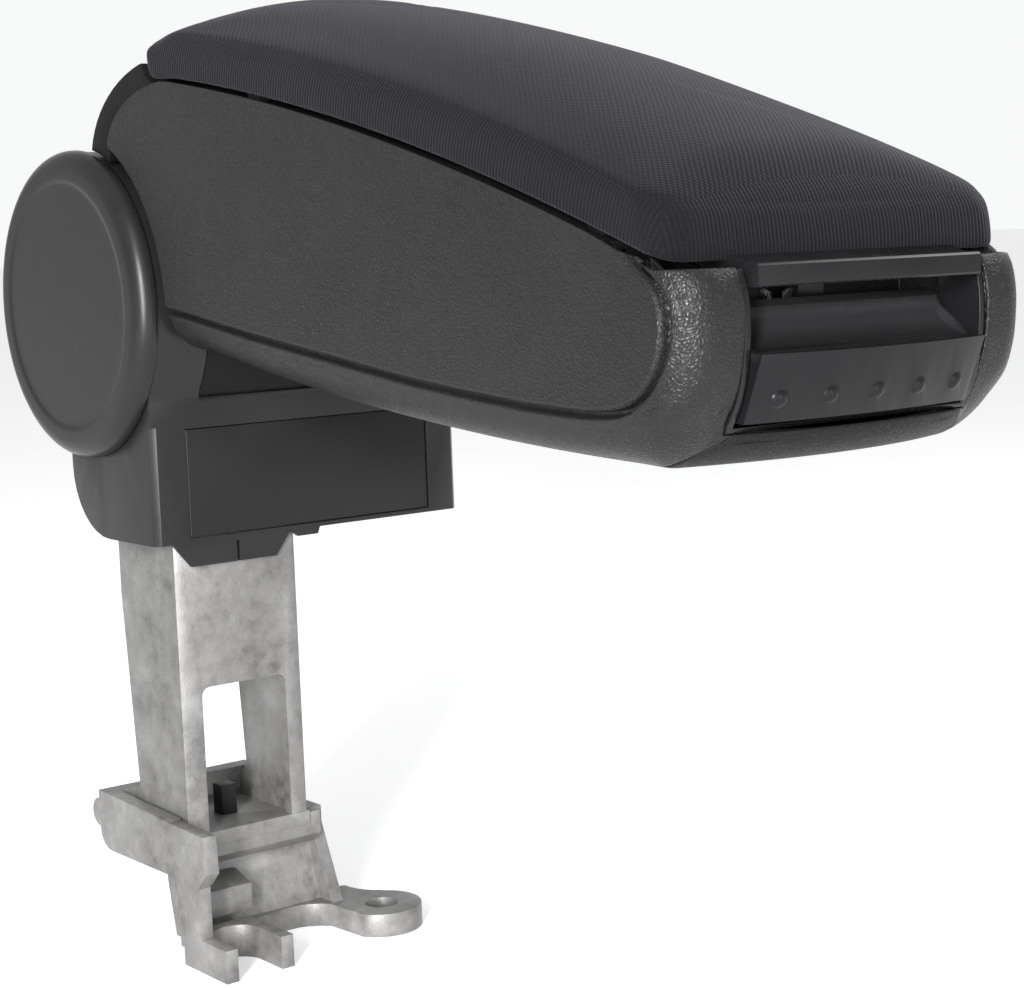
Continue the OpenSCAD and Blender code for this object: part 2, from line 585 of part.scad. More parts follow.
module lid_cushion() color("#2b2b30") at_hinge() difference() {
    union() {
        loft([for (x = lid_stations) lid_ring(x)]);
        intersection() {
            translate([lid_pin_x, 0, lid_pin_z]) rod_y(lid_end_r, -lid_half, lid_half);
            translate([0, -100, 0]) cube([lid_pin_x + 0.5, 200, 200]);
        }
    }
    side_plate(-body_half + 4 - seat_gap, body_half - 4 + seat_gap)
        polygon(concat(seam_points(lid_pin_x, lid_front_x - 4 + seat_gap, 12, -5),
            reversed(seam_points(lid_plate_x0 - 3, lid_front_x - 4 + seat_gap, 12, lid_gap + lid_plate_t + seat_gap)),
            [[lid_pin_x, lid_pin_z - 5]]));
    translate([lid_pin_x, 0, lid_pin_z]) rod_y(lid_pin_r + 1, -41, 41);
    both_sides() side_plate(eye_in - 1, ear_in + ear_w + 7)
        polygon(concat(arc(lid_pin_x, lid_pin_z, 5.2, 5.2, 60, 300, 10), [[lid_plate_x0 + 8, 66], [lid_plate_x0 + 8, 75]]));
    both_sides() side_plate(ear_in - 0.8, ear_in + ear_w + 0.8)
        polygon([[40, 60], [lid_pin_x + 6, 60], [lid_pin_x + 6, lid_pin_z + 5.2], [lid_pin_x - 4, lid_pin_z + 5.2], [40, lid_pin_z + 3]]);
    side_plate(-bar_half - 0.5, bar_half + 0.5)
        polygon([[lid_front_x - 8, 0], [lid_front_x + 5, 0], [lid_front_x + 5, seam_nose_z + lid_gap + 3], [lid_front_x - 8, seam_nose_z + lid_gap + 3]]);
}

module lid_bumpers() color("#151515") at_hinge() both_sides() for (x = [104, tray_x1 - 10])
    side_plate(tray_half + 0.8, body_half - 4.8)
        polygon(concat(seam_points(x, x + 7, 2, lid_gap - 0.05), reversed(seam_points(x + 0.6, x + 6.4, 2, -1.2))));

// Round end cap with a filleted rim and a shallow ring line
module hinge_cap() difference() {
    union() {
        rotate([90, 0, 0]) rotate_extrude($fn = 96)
            polygon(concat([[0, 0], [cap_r, 0], [cap_r, 1]],
                arc(cap_r - 6, 1, 6, cap_t - 1, 0, 90, 8), [[0, cap_t]]));
    }
    rotate([90, 0, 0]) rotate_extrude($fn = 96)
        polygon([[cap_ring_r - 0.5, cap_t + 1], [cap_ring_r - 0.3, cap_t - 0.7], [cap_ring_r + 0.3, cap_t - 0.7], [cap_ring_r + 0.5, cap_t + 1]]);
    rotate([90, 0, 0]) translate([0, 0, -1]) cylinder(r = cap_r - 3.5, h = cap_t - 2);
}
module hinge_cap_right() color("#343537") at_hinge() translate([0, -body_half - 0.1, 0]) hinge_cap();
module hinge_cap_left() color("#343537") at_hinge() mirror([0, 1, 0]) translate([0, -body_half - 0.1, 0]) hinge_cap();

module hinge_axle() color("#a9abae") at_hinge() {
    rod_y(axle_r, -axle_half, axle_half);
}
axle_half = body_half - 0.5;

module axle_nuts() color("#8f9194") at_hinge() both_sides() difference() {
    rod_y_hex(9.5, head_y + lug_t + 2.1, axle_half - 0.2);
    rod_y(axle_r, 0, 80);
}
module rod_y_hex(r, y0, y1) translate([0, y0, 0]) rotate([-90, 0, 0]) cylinder(r = r, h = y1 - y0, $fn = 6);

module thrust_washers() color("#c7b26a") at_hinge() both_sides() difference() {
    rod_y(12, head_y + lug_t + 0.1, head_y + lug_t + 2);
    rod_y(axle_r + 0.2, 0, 80);
}

// Fixed cover: two drum cheeks joined by the block below
block_edge_r = 24;
module block_outline(inset, front_inset) {
    r = block_edge_r - inset;
    polygon(concat([[-block_rear + inset, -30]],
        arc(-block_rear + block_edge_r, -block_bottom + block_edge_r, r, r, 180, 270, 8),
        [[block_front - front_inset, -block_bottom + inset], [block_front - front_inset, -31]]));
}
module blend_outline() {
    // Hollow blend between drum and block front
    br = 9;
    bx = block_front + br;
    bz = -sqrt(pow(drum_r + br, 2) - bx * bx);
    polygon(concat([[20, -10]], arc(bx, bz, br, br, 153, 180, 4), [[block_front, bz - 8], [20, bz - 10]]));
}
module base_cover() color("#323335") at_hinge() {
    difference() {
        union() {
            both_sides() side_plate(cheek_in, body_half) {
                circle(drum_r, $fn = 96);
                block_outline(0, 0);
                blend_outline();
            }
            side_plate(-cheek_in, cheek_in) difference() {
                block_outline(0, 0);
                circle(drum_r + move_gap, $fn = 96);
            }
        }
        // Room for the post's lugs behind each end cap
        both_sides() side_plate(cheek_in + cover_t, body_half + 1) circle(drum_r - cover_t, $fn = 96);
        both_sides() side_plate(cheek_in + cover_t, body_half - cover_t) block_outline(cover_t, front_wall);
        both_sides() rod_y(lug_r - 1, 0, body_half - cover_t);
        // Room for the post's head inside the block
        side_plate(-body_half + cover_t, body_half - cover_t) difference() {
            block_outline(cover_t, front_wall);
            circle(drum_r + move_gap + cover_t, $fn = 96);
        }
        translate([post_rear_x - 1, post_y - post_w / 2 - 0.5, -block_bottom - 5])
            cube([block_front - insert_t - 0.1 - post_rear_x + 1, post_w + 1, block_bottom - 54]);
        // Recess for the front insert
        translate([block_front - insert_t - 0.1, -insert_w / 2 - seat_gap, -block_bottom + insert_lip])
            cube([10, insert_w + 2 * seat_gap, block_bottom - insert_lip + insert_top + seat_gap]);
        // Bevel on the front corners
        both_sides() translate([block_front, -body_half, -100]) rotate([0, 0, 45]) cube([3, 3, 120], center = true);
        for (p = cover_screw_at) translate([p.x, p.y, -block_bottom - 2]) cylinder(r = screw_r + 0.2, h = 10);
    }
    skirt_tab();
}
// Skirt that hangs in front of the post
tab_drop = 8;
module skirt_tab() translate([block_front - insert_t, post_y, -block_bottom]) rotate([90, 0, 90]) linear_extrude(insert_t)
    difference() {
        polygon([[-post_w / 2 - 0.8, insert_lip], [-post_w / 2 - 0.8, 0], [-post_w / 2 + 6, -tab_drop],
                 [post_w / 2 - 8, -tab_drop], [post_w / 2 - 2, 0], [post_w / 2 + 1, -2.4], [post_w / 2 + 9, -2.4],
                 [post_w / 2 + 10, 0], [post_w / 2 + 10, insert_lip]]);
        translate([0, -tab_drop - 1]) square([1, tab_drop]);
    }

module front_insert() color("#262628") at_hinge() {
    translate([block_front - insert_t, -insert_w / 2, -block_bottom + insert_lip + seat_gap])
        cube([insert_t - 0.2, insert_w, block_bottom - insert_lip - seat_gap + insert_top]);
}

// Cast head with two lugs that hold the axle, and the channel below it
module post_casting() color("#9a9a98") at_hinge() difference() {
    union() {
        post_channel();
        side_plate(-head_y - lug_t, head_y + lug_t)
            polygon([[-10, -58], [post_front_x - 6, -58], [post_front_x - 6, -74], [2, -74], [-5, -70], [-10, -62]]);
        both_sides() side_plate(head_y, head_y + lug_t) {
            circle(lug_r);
            polygon([[-lug_r + 2, -8], [lug_r - 2, -8], [post_front_x - 8, -60], [post_rear_x - 8, -60]]);
        }
    }
    rod_y(axle_r, -body_w, body_w);
    both_sides() translate([0, 0, -stop_z]) rod_y(stop_r, 0, head_y + lug_t - 2);
    for (p = cover_screw_at) translate([p.x, p.y, -100]) cylinder(r = screw_r, h = 32);
}
module post_channel() difference() {
    union() {
        translate([post_rear_x, post_y - post_w / 2, post_floor_z]) cube([post_d, post_w, -60 - post_floor_z]);
        translate([-4, post_y - post_w / 2 - 1, post_floor_z - post_floor_t]) cube([post_front_x + 4.4, post_w + 2, post_floor_t]);
    }
    translate([post_rear_x - 10, post_y - post_w / 2 + post_t, post_floor_z]) cube([post_d + 10 - post_t, post_w - 2 * post_t, 96]);
    // Window in the front wall
    translate([20, post_y - post_w / 2 + 8, post_floor_z]) rotate([90, 0, 90]) linear_extrude(60)
        polygon(concat([[0, 0], [window_w, 0]], arc(window_w - window_r, window_h - window_r, window_r, window_r, 0, 90, 4),
            arc(window_r, window_h - window_r, window_r, window_r, 90, 180, 4)));
    // Raked rear edges
    side_plate(-body_w, body_w) polygon([[post_rear_x - 30, -60], [post_rear_x, -100], [post_rear_x + 5.5, post_floor_z + 12],
        [post_rear_x, post_floor_z + 7], [post_rear_x, post_floor_z], [-4.5, post_floor_z], [-40, -140]]);
    translate([bolt_x, bolt_y, -300]) cylinder(r = 4.2, h = 200);
}

module clamp_bolt() color("#5a5c5f") at_hinge() translate([bolt_x, bolt_y, 0]) {
    translate([0, 0, post_floor_z - post_floor_t - 12]) cylinder(r = 4, h = post_floor_t + 12.05);
    translate([0, 0, post_floor_z]) cylinder(r = bolt_tip_r, h = 5);
    translate([0, 0, tub_z0 - hinge_h - 5.2]) cylinder(r = bolt_nut_r, h = 5, $fn = 6);
}
bolt_nut_r = 6.2;
bolt_tip_r = 1.8;
bolt_cap_w = 5.8;
bolt_cap_h = 10.4;
module bolt_cap() color("#161617") at_hinge() translate([bolt_x, bolt_y, post_floor_z]) difference() {
    translate([-bolt_cap_w / 2, -bolt_cap_w / 2, 0.05]) cube([bolt_cap_w, bolt_cap_w, bolt_cap_h]);
    translate([0, 0, -1]) cylinder(r = bolt_tip_r + 0.2, h = 7);
}

// Stops that the arm's side plates rest on
module stop_pins() color("#b9bbbe") at_hinge() both_sides() translate([0, 0, -stop_z])
    rod_y(stop_r, arm_half - arm_t - 1, head_y + lug_t - 2);

module cover_screws() color("#77797c") at_hinge() for (p = cover_screw_at) translate([p.x, p.y, -block_bottom]) {
    translate([0, 0, -screw_head_h]) cylinder(r = screw_head_r, h = screw_head_h);
    cylinder(r = screw_r, h = 9);
}
module tray_screws() color("#77797c") at_hinge() both_sides() for (x = screw_xs) translate([x + 8, screw_y, 0]) {
    translate([0, 0, tray_low(x + 8) + tray_t + 0.8]) cylinder(r = 4, h = 1.8);
    translate([0, 0, arm_low(x + 8) + 0.5]) cylinder(r = screw_r, h = arm_t + tray_lift + tray_t + 0.5);
}
module shell_screws() color("#77797c") at_hinge() both_sides() for (x = screw_xs) translate([x, screw_y, 0]) {
    translate([0, 0, belly_z(x) + screw_sink - screw_head_h]) cylinder(r = screw_head_r, h = screw_head_h);
    translate([0, 0, belly_z(x) + screw_sink]) cylinder(r = screw_r, h = arm_low(x) + arm_t - 0.5 - belly_z(x) - screw_sink);
}

// Foot: a tub under the post, ribs and a ramp down to the fork and the ear
module foot_plan() {
    polygon(concat([[-12, fork_y0], [fork_x, fork_y0], [fork_x, fork_y1], [2, fork_y1]],
        arc(-7, fork_y1 + 10, 10, 10, 300, 200, 5),
        arc(-4, -26, 14, 14, 200, 120, 5),
        arc(0, 0, ear_r, ear_r, -62, 140, 14),
        arc(-26, 14, 16, 12, -30, -90, 5),
        [[-30, -12], [-30, -40], [-12, -46]]));
}
fork_x = 15;
fork_y0 = mid_y - body_half;
fork_y1 = fork_y0 + 2 * prong_t + fork_slot;
fork_root_x = 1;
module foot_casting() color("#a0a09e") difference() {
    union() {
        linear_extrude(ear_t) foot_plan();
        translate([-12, fork_y0, 0]) cube([fork_x + 12, fork_y1 - fork_y0, 11]);
        foot_tub();
        // Leg, ramp and gusset between the tub and the plate
        side_plate(fork_y0, fork_y0 + 5)
            polygon([[-30, tub_z0], [-15, tub_z0], [-14, 6], [-1, 6], [-1, 28], [5, 34], [4, tub_z1 - 3], [-30, tub_z1 - 2]]);
        side_plate(ramp_y1 - 0.5, ramp_y1 + 4)
            polygon([[-33, tub_z0], [-30, 6], [-9, 6], [-12.6, 9], [-23.5, 34], [-23.5, 40], [-33, 40]]);
        side_plate(fork_y0 + 4.5, ramp_y1)
            polygon([[-25, 6], [-20, 6], [-19.5, 8], [-22, 14], [-24.5, 24], [-25, 32], [-29.6, 32], [-29, 24]]);
        side_plate(fork_y0 + 4.5, -44) polygon([[-24, 13], [-13, 13], [-13, 22], [-23.5, 25]]);
    }
    translate([0, 0, -1]) cylinder(r = ear_bore_r, h = ear_t + 2);
    translate([fork_root_x, fork_y0 + prong_t + fork_slot / 2, -1]) {
        cylinder(r = fork_slot / 2, h = 30);
        translate([0, -fork_slot / 2, 0]) cube([40, fork_slot, 30]);
    }
    translate([bolt_x - hinge_back, bolt_y + mid_y, 0]) cylinder(r = 4.2, h = 60);
}
ramp_y1 = -12;
module foot_tub() {
    x0 = -67.6;
    x1 = -18;
    difference() {
        union() {
            side_plate(fork_y0, ramp_y1) polygon(concat(arc(x0 + 7, tub_z0 + 7, 7, 7, 180, 270, 5),
                [[x1 - 3, tub_z0], [x1, tub_z0 + 3], [x1, tub_z1 - 4], [x1 - 2, tub_z1 - 2], [x0, tub_z1]]));
            translate([x0, fork_y0, tub_z1 - 8]) rotate([-90, 0, 0]) cylinder(r = 5, h = 8);
        }
        translate([-hinge_back - 4.5, mid_y + post_y - post_w / 2 - 1.5, post_floor_z + hinge_h - post_floor_t])
            cube([60, post_w + 3, 40]);
        // The far wall stays low
        translate([x0 + 12, mid_y + post_y + post_w / 2, 40]) cube([70, 30, 30]);
    }
}

foot_casting();
post_casting();
clamp_bolt();
bolt_cap();
base_cover();
front_insert();
hinge_cap_right();
hinge_cap_left();
hinge_axle();
axle_nuts();
thrust_washers();
stop_pins();
cover_screws();
arm_frame();
hub_bushes();
rear_cover();
side_shell_right();
side_shell_left();
lower_shell();
storage_tray();
front_frame();
latch_clip();
lid_pin();
paddle_pin();
paddle_spring();
tray_screws();
shell_screws();
lid_base();
lid_cushion();
lid_bumpers();
release_paddle();
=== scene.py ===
"""Looks of the car centre armrest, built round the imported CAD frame."""
import bpy
import bmesh
import json
import math
import numpy as np
from mathutils import Matrix, Vector


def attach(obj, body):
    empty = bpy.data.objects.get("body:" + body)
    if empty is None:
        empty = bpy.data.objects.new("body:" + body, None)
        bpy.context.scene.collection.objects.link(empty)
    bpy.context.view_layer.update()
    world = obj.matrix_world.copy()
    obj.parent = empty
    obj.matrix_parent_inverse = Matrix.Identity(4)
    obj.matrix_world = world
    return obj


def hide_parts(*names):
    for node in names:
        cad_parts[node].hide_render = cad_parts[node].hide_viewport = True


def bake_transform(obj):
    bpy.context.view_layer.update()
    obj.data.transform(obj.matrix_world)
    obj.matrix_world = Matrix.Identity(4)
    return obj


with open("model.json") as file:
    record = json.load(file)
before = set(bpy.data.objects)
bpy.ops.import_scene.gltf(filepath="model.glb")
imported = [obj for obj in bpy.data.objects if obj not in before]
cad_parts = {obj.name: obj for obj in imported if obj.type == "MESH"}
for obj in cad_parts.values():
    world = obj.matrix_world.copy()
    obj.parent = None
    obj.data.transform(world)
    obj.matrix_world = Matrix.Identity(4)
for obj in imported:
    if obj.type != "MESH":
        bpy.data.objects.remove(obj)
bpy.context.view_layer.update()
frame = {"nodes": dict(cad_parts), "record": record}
NODES = frame["nodes"]

# Places and sizes in mm from the main hinge axis, in the armrest's centre plane
HINGE = (-57.0, -10.0, 219.0)  # that axis in the row frame
HALF = 61.5  # half the shell's width
NOSE_X = 300.0  # foremost station of the shell
NOSE_R = 10.5  # plan radius of the nose's corners
NOSE_C = NOSE_X - NOSE_R
SEAM_X0, SEAM_X1 = 64.0, 290.0  # stations between which the seam under the lid falls
SEAM_Z0, SEAM_Z1, SEAM_ARCH = 69.5, 9.0, 6.5
BELLY_R = 16.0  # radius of the shell's lower corners
BELLY_Z0, BELLY_Z1, BELLY_SAG = 15.0, 39.5, 5.0
CHIN_X, CHIN_RISE = 286.0, 8.5
OPEN_HALF = 43.5  # half the width of the nose's opening
OPEN_Z = -BELLY_Z1 + CHIN_RISE
LID_GAP = 0.8


def smooth(a, b, v):
    t = min(max((v - a) / (b - a), 0), 1)
    return t * t * (3 - 2 * t)


def seam_z(x):
    """Height of the seam between shell and lid."""
    x = min(max(x, SEAM_X0), SEAM_X1)
    mid, half = (SEAM_X0 + SEAM_X1) / 2, (SEAM_X1 - SEAM_X0) / 2
    fall = (SEAM_Z1 - SEAM_Z0) * (x - SEAM_X0) / (2 * half)
    return SEAM_Z0 + fall + SEAM_ARCH * (1 - ((x - mid) / half) ** 2)


def belly_z(x):
    """Height of the shell's underside."""
    half = (CHIN_X - SEAM_X0) / 2
    if x <= SEAM_X0:
        return -BELLY_Z0
    if x > CHIN_X:
        along = (x - CHIN_X) / (NOSE_X - CHIN_X)
        return -BELLY_Z1 + CHIN_RISE * (1 - math.sqrt(max(0, 1 - along ** 2)))
    fall = (BELLY_Z1 - BELLY_Z0) * (x - SEAM_X0) / (2 * half)
    return -BELLY_Z0 - fall - BELLY_SAG * (1 - ((x - SEAM_X0 - half) / half) ** 2)


def half_w(x):
    """Half the shell's width, with the nose's corners."""
    if x < NOSE_C:
        return HALF
    return HALF - NOSE_R + math.sqrt(max(0, NOSE_R ** 2 - (x - NOSE_C) ** 2))


def curve_table(table, v):
    """Value of a smooth curve through the table's points, without waves between them."""
    last = len(table) - 1
    k = min(max(1, sum(v > a for a, _ in table)), last)
    slopes = []
    for i in (k - 1, k):
        before, after = table[max(i - 1, 0)], table[min(i + 1, last)]
        slopes.append((after[1] - before[1]) / (after[0] - before[0]))
    (a, fa), (b, fb) = table[k - 1], table[k]
    w = b - a
    t = min(max((v - a) / w, 0), 1)
    return (fa * (1 + 2 * t) * (1 - t) ** 2 + slopes[0] * w * t * (1 - t) ** 2
            + fb * t * t * (3 - 2 * t) + slopes[1] * w * t * t * (t - 1))


# ---------- objects ----------
def to_row(points):
    """Points in mm from the hinge axis as metres in the row frame."""
    return (np.asarray(points, float) + np.array(HINGE)) / 1000


def bare_object(name, mesh):
    ob = bpy.data.objects.new(name, mesh)
    bpy.context.scene.collection.objects.link(ob)
    return ob


def build(name, points, faces, body, replaced, material):
    """A smooth mesh object from points in mm from the hinge axis. It rides on a body when one is given."""
    me = bpy.data.meshes.new(name)
    me.from_pydata([tuple(p) for p in to_row(points)], [], faces)
    me.validate()
    for p in me.polygons:
        p.use_smooth = True
    me.materials.append(material)
    ob = bare_object(name, me)
    if body:
        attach(ob, body)
    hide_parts(replaced)
    return ob


def tube_faces(rings, n, at=0):
    """Quads between closed rings of n points each; at is the first point's index."""
    return [[at + j * n + k, at + j * n + (k + 1) % n, at + (j + 1) * n + (k + 1) % n, at + (j + 1) * n + k]
            for j in range(rings - 1) for k in range(n)]


def modifier(ob, kind, **values):
    m = ob.modifiers.new(kind.lower(), kind)
    for k, v in values.items():
        setattr(m, k, v)


# ---------- material nodes ----------
def new_material(name):
    m = bpy.data.materials.new(name)
    m.use_nodes = True
    nt = m.node_tree
    for n in list(nt.nodes):
        if n.type not in ("OUTPUT_MATERIAL", "BSDF_PRINCIPLED"):
            nt.nodes.remove(n)
    return m, nt, nt.nodes["Principled BSDF"]


def node(nt, kind, **values):
    """A node; a value named in_X goes to its input X, and any other to its property."""
    n = nt.nodes.new(kind)
    for k, v in values.items():
        if k.startswith("in_"):
            n.inputs[k[3:].replace("_", " ")].default_value = v
        else:
            setattr(n, k, v)
    return n


def settings(bsdf, **values):
    for k, v in values.items():
        bsdf.inputs[k.replace("_", " ")].default_value = v


def math_node(nt, op, *terms):
    n = node(nt, "ShaderNodeMath", operation=op)
    for i, v in enumerate(terms):
        if isinstance(v, (int, float)):
            n.inputs[i].default_value = v
        else:
            nt.links.new(v, n.inputs[i])
    return n.outputs[0]


def add(nt, a, b):
    return math_node(nt, "ADD", a, b)


def weighted(nt, *pairs):
    """Sum of values, each times its weight."""
    total = None
    for value, weight in pairs:
        part = math_node(nt, "MULTIPLY", value, weight)
        total = part if total is None else add(nt, total, part)
    return total


def coord(nt, kind="Object"):
    return nt.nodes.new("ShaderNodeTexCoord").outputs[kind]


def split(nt, vector):
    sep = nt.nodes.new("ShaderNodeSeparateXYZ")
    nt.links.new(vector, sep.inputs[0])
    return sep.outputs


def noise_out(nt, at, scale, detail, rough):
    n = node(nt, "ShaderNodeTexNoise", in_Scale=scale, in_Detail=detail, in_Roughness=rough)
    nt.links.new(at, n.inputs["Vector"])
    return n.outputs["Fac"]


def ramp(nt, fac, stops, socket):
    """Colour ramp of (position, colour) stops into a socket."""
    n = nt.nodes.new("ShaderNodeValToRGB")
    cr = n.color_ramp
    while len(cr.elements) < len(stops):
        cr.elements.new(0.5)
    for e, (pos, col) in zip(cr.elements, stops):
        e.position = pos
        e.color = (*col, 1)
    nt.links.new(fac, n.inputs["Fac"])
    nt.links.new(n.outputs["Color"], socket)


def map_range(nt, v, a, b, c, d):
    n = node(nt, "ShaderNodeMapRange")
    for i, x in zip((1, 2, 3, 4), (a, b, c, d)):
        n.inputs[i].default_value = x
    nt.links.new(v, n.inputs[0])
    return n.outputs[0]


def mix_floats(nt, fac, a, b):
    n = node(nt, "ShaderNodeMix", data_type="FLOAT")
    for i, v in ((0, fac), (2, a), (3, b)):
        nt.links.new(v, n.inputs[i])
    return n.outputs[0]


def bump(nt, bsdf, height, strength, distance):
    n = node(nt, "ShaderNodeBump", in_Strength=strength, in_Distance=distance)
    nt.links.new(height, n.inputs["Height"])
    nt.links.new(n.outputs["Normal"], bsdf.inputs["Normal"])


# ---------- materials ----------
def plastic(name, dark, light, rough, fine=2500.0, fine_depth=0.00003, ior=1.34):
    """Moulded plastic with faint mottling, a fine spark-eroded texture and soft roughness changes."""
    m, nt, b = new_material(name)
    c = coord(nt)
    broad = noise_out(nt, c, 38, 4, 0.55)
    tiny = noise_out(nt, c, fine, 2, 0.5)
    ramp(nt, broad, [(0.3, dark), (0.72, light)], b.inputs["Base Color"])
    r = add(nt, map_range(nt, broad, 0.3, 0.7, rough - 0.04, rough + 0.05), map_range(nt, tiny, 0.3, 0.7, -0.03, 0.03))
    nt.links.new(r, b.inputs["Roughness"])
    settings(b, IOR=ior)
    bump(nt, b, tiny, 0.6, fine_depth)
    return m


def leather_grain(name, dark, light, rough, ior):
    """Pebbled grain moulded in plastic: cells about 1 mm across, with creases between them."""
    m, nt, b = new_material(name)
    c = coord(nt)
    warp = node(nt, "ShaderNodeTexNoise", in_Scale=260.0, in_Detail=2.0)
    nt.links.new(c, warp.inputs["Vector"])
    warped = node(nt, "ShaderNodeMix", data_type="VECTOR")
    warped.inputs[0].default_value = 0.0022
    nt.links.new(c, warped.inputs[4])
    nt.links.new(warp.outputs["Color"], warped.inputs[5])
    cells = node(nt, "ShaderNodeTexVoronoi", feature="DISTANCE_TO_EDGE", in_Scale=900.0)
    nt.links.new(warped.outputs[1], cells.inputs["Vector"])
    pebble = map_range(nt, cells.outputs["Distance"], 0.0, 0.32, 0.0, 1.0)
    tiny = noise_out(nt, c, 1900, 2, 0.5)
    big = noise_out(nt, c, 420, 3, 0.6)
    broad = noise_out(nt, c, 26, 4, 0.55)
    tone = weighted(nt, (broad, 0.7), (pebble, 0.3))
    ramp(nt, tone, [(0.25, dark), (0.8, light)], b.inputs["Base Color"])
    r = add(nt, map_range(nt, pebble, 0, 1, rough + 0.12, rough - 0.03), map_range(nt, broad, 0.3, 0.7, -0.03, 0.04))
    nt.links.new(r, b.inputs["Roughness"])
    settings(b, IOR=ior)
    bump(nt, b, weighted(nt, (pebble, 0.75), (tiny, 0.25), (big, 0.8)), 0.8, 0.00017)
    return m


def knit(name):
    """Fine ribbed knit: slanting ribs, with loops along each rib. Top, sides and front take their own slant."""
    pitch = 0.0013
    m, nt, b = new_material(name)
    c = coord(nt)
    x, y, z = split(nt, c)
    normal = split(nt, coord(nt, "Normal"))
    is_top = math_node(nt, "GREATER_THAN", math_node(nt, "ABSOLUTE", normal[2]), 0.62)
    is_front = math_node(nt, "GREATER_THAN", math_node(nt, "ABSOLUTE", normal[0]), 0.72)
    wobble = math_node(nt, "MULTIPLY", math_node(nt, "SUBTRACT", noise_out(nt, c, 60, 2, 0.5), 0.5), 0.0012)

    def waves(u, v, degrees):
        slant = math.radians(degrees)
        across = add(nt, weighted(nt, (u, math.cos(slant)), (v, math.sin(slant))), wobble)
        along = weighted(nt, (v, math.cos(slant)), (u, -math.sin(slant)))

        def ridges(w, width):
            return math_node(nt, "ABSOLUTE", math_node(nt, "SINE", math_node(nt, "MULTIPLY", w, math.pi / width)))

        return weighted(nt, (ridges(across, pitch), 0.75), (ridges(along, pitch * 0.8), 0.3))

    upright = mix_floats(nt, is_front, waves(x, z, -20), waves(y, z, 8))
    rib = mix_floats(nt, is_top, upright, waves(x, y, 53))
    fuzz = noise_out(nt, c, 3200, 2, 0.6)
    broad = noise_out(nt, c, 30, 3, 0.5)
    tone = weighted(nt, (rib, 0.42), (broad, 0.3), (fuzz, 0.25))
    ramp(nt, tone, [(0.2, (0.0020, 0.0020, 0.0022)), (0.62, (0.0050, 0.0050, 0.0056)),
                    (0.95, (0.0100, 0.0099, 0.0110))], b.inputs["Base Color"])
    settings(b, Roughness=0.85, IOR=1.22, Sheen_Weight=0.07, Sheen_Roughness=0.45, Sheen_Tint=(0.88, 0.88, 1.0, 1))
    bump(nt, b, add(nt, rib, math_node(nt, "MULTIPLY", fuzz, 0.25)), 0.65, 0.0003)
    return m


def cast_metal(name):
    """Raw cast light alloy: grey mottling, darker stains and a fine sand texture."""
    m, nt, b = new_material(name)
    c = coord(nt)
    big = noise_out(nt, c, 46, 5, 0.65)
    mid = noise_out(nt, c, 240, 4, 0.6)
    fine = noise_out(nt, c, 1500, 3, 0.6)
    tone = weighted(nt, (big, 0.6), (mid, 0.28), (fine, 0.12))
    ramp(nt, tone, [(0.34, (0.10, 0.098, 0.095)), (0.47, (0.205, 0.202, 0.198)), (0.56, (0.255, 0.252, 0.248)),
                    (0.70, (0.36, 0.356, 0.35))], b.inputs["Base Color"])
    nt.links.new(map_range(nt, mid, 0.3, 0.7, 0.42, 0.62), b.inputs["Roughness"])
    settings(b, Metallic=0.55)
    bump(nt, b, weighted(nt, (fine, 0.6), (mid, 1.0)), 0.6, 0.0003)
    return m


def metal(name, dark, light, rough):
    """Machined or plated metal with faint stains and fine scratches."""
    m, nt, b = new_material(name)
    c = coord(nt)
    ramp(nt, noise_out(nt, c, 120, 4, 0.6), [(0.3, dark), (0.7, light)], b.inputs["Base Color"])
    scratches = noise_out(nt, c, 900, 2, 0.6)
    nt.links.new(map_range(nt, scratches, 0.3, 0.7, rough - 0.06, rough + 0.08), b.inputs["Roughness"])
    settings(b, Metallic=0.9)
    bump(nt, b, scratches, 0.4, 0.00003)
    return m


def paddle_plastic(name):
    """Black plastic of the paddle, with painted light: the set-back upper part over its face, its finger recess, is
    coloured a little lighter than the face, standing in for light that hardly reaches it.
    """
    m, nt, b = new_material(name)
    along, _, up = split(nt, coord(nt, "Generated"))
    set_back, high = map_range(nt, along, 0.90, 0.72, 0.0, 1.0), map_range(nt, up, 0.5, 0.75, 0.0, 1.0)
    # painted light: mask of the set-back upper part of the paddle (its finger recess), which the ramp below colours
    # lighter
    scoop_painted_light = math_node(nt, "MULTIPLY", set_back, high)
    mottle = noise_out(nt, coord(nt), 38, 4, 0.55)
    tone = add(nt, scoop_painted_light, math_node(nt, "MULTIPLY", mottle, 0.1))
    # the ramp's top stop is painted light in the recess; its low stop is the paddle's own black
    ramp(nt, tone, [(0.04, (0.008, 0.008, 0.0087)), (1.0, (0.024, 0.024, 0.0253))], b.inputs["Base Color"])
    nt.links.new(map_range(nt, mottle, 0.3, 0.7, 0.24, 0.31), b.inputs["Roughness"])
    settings(b, IOR=1.26)
    return m


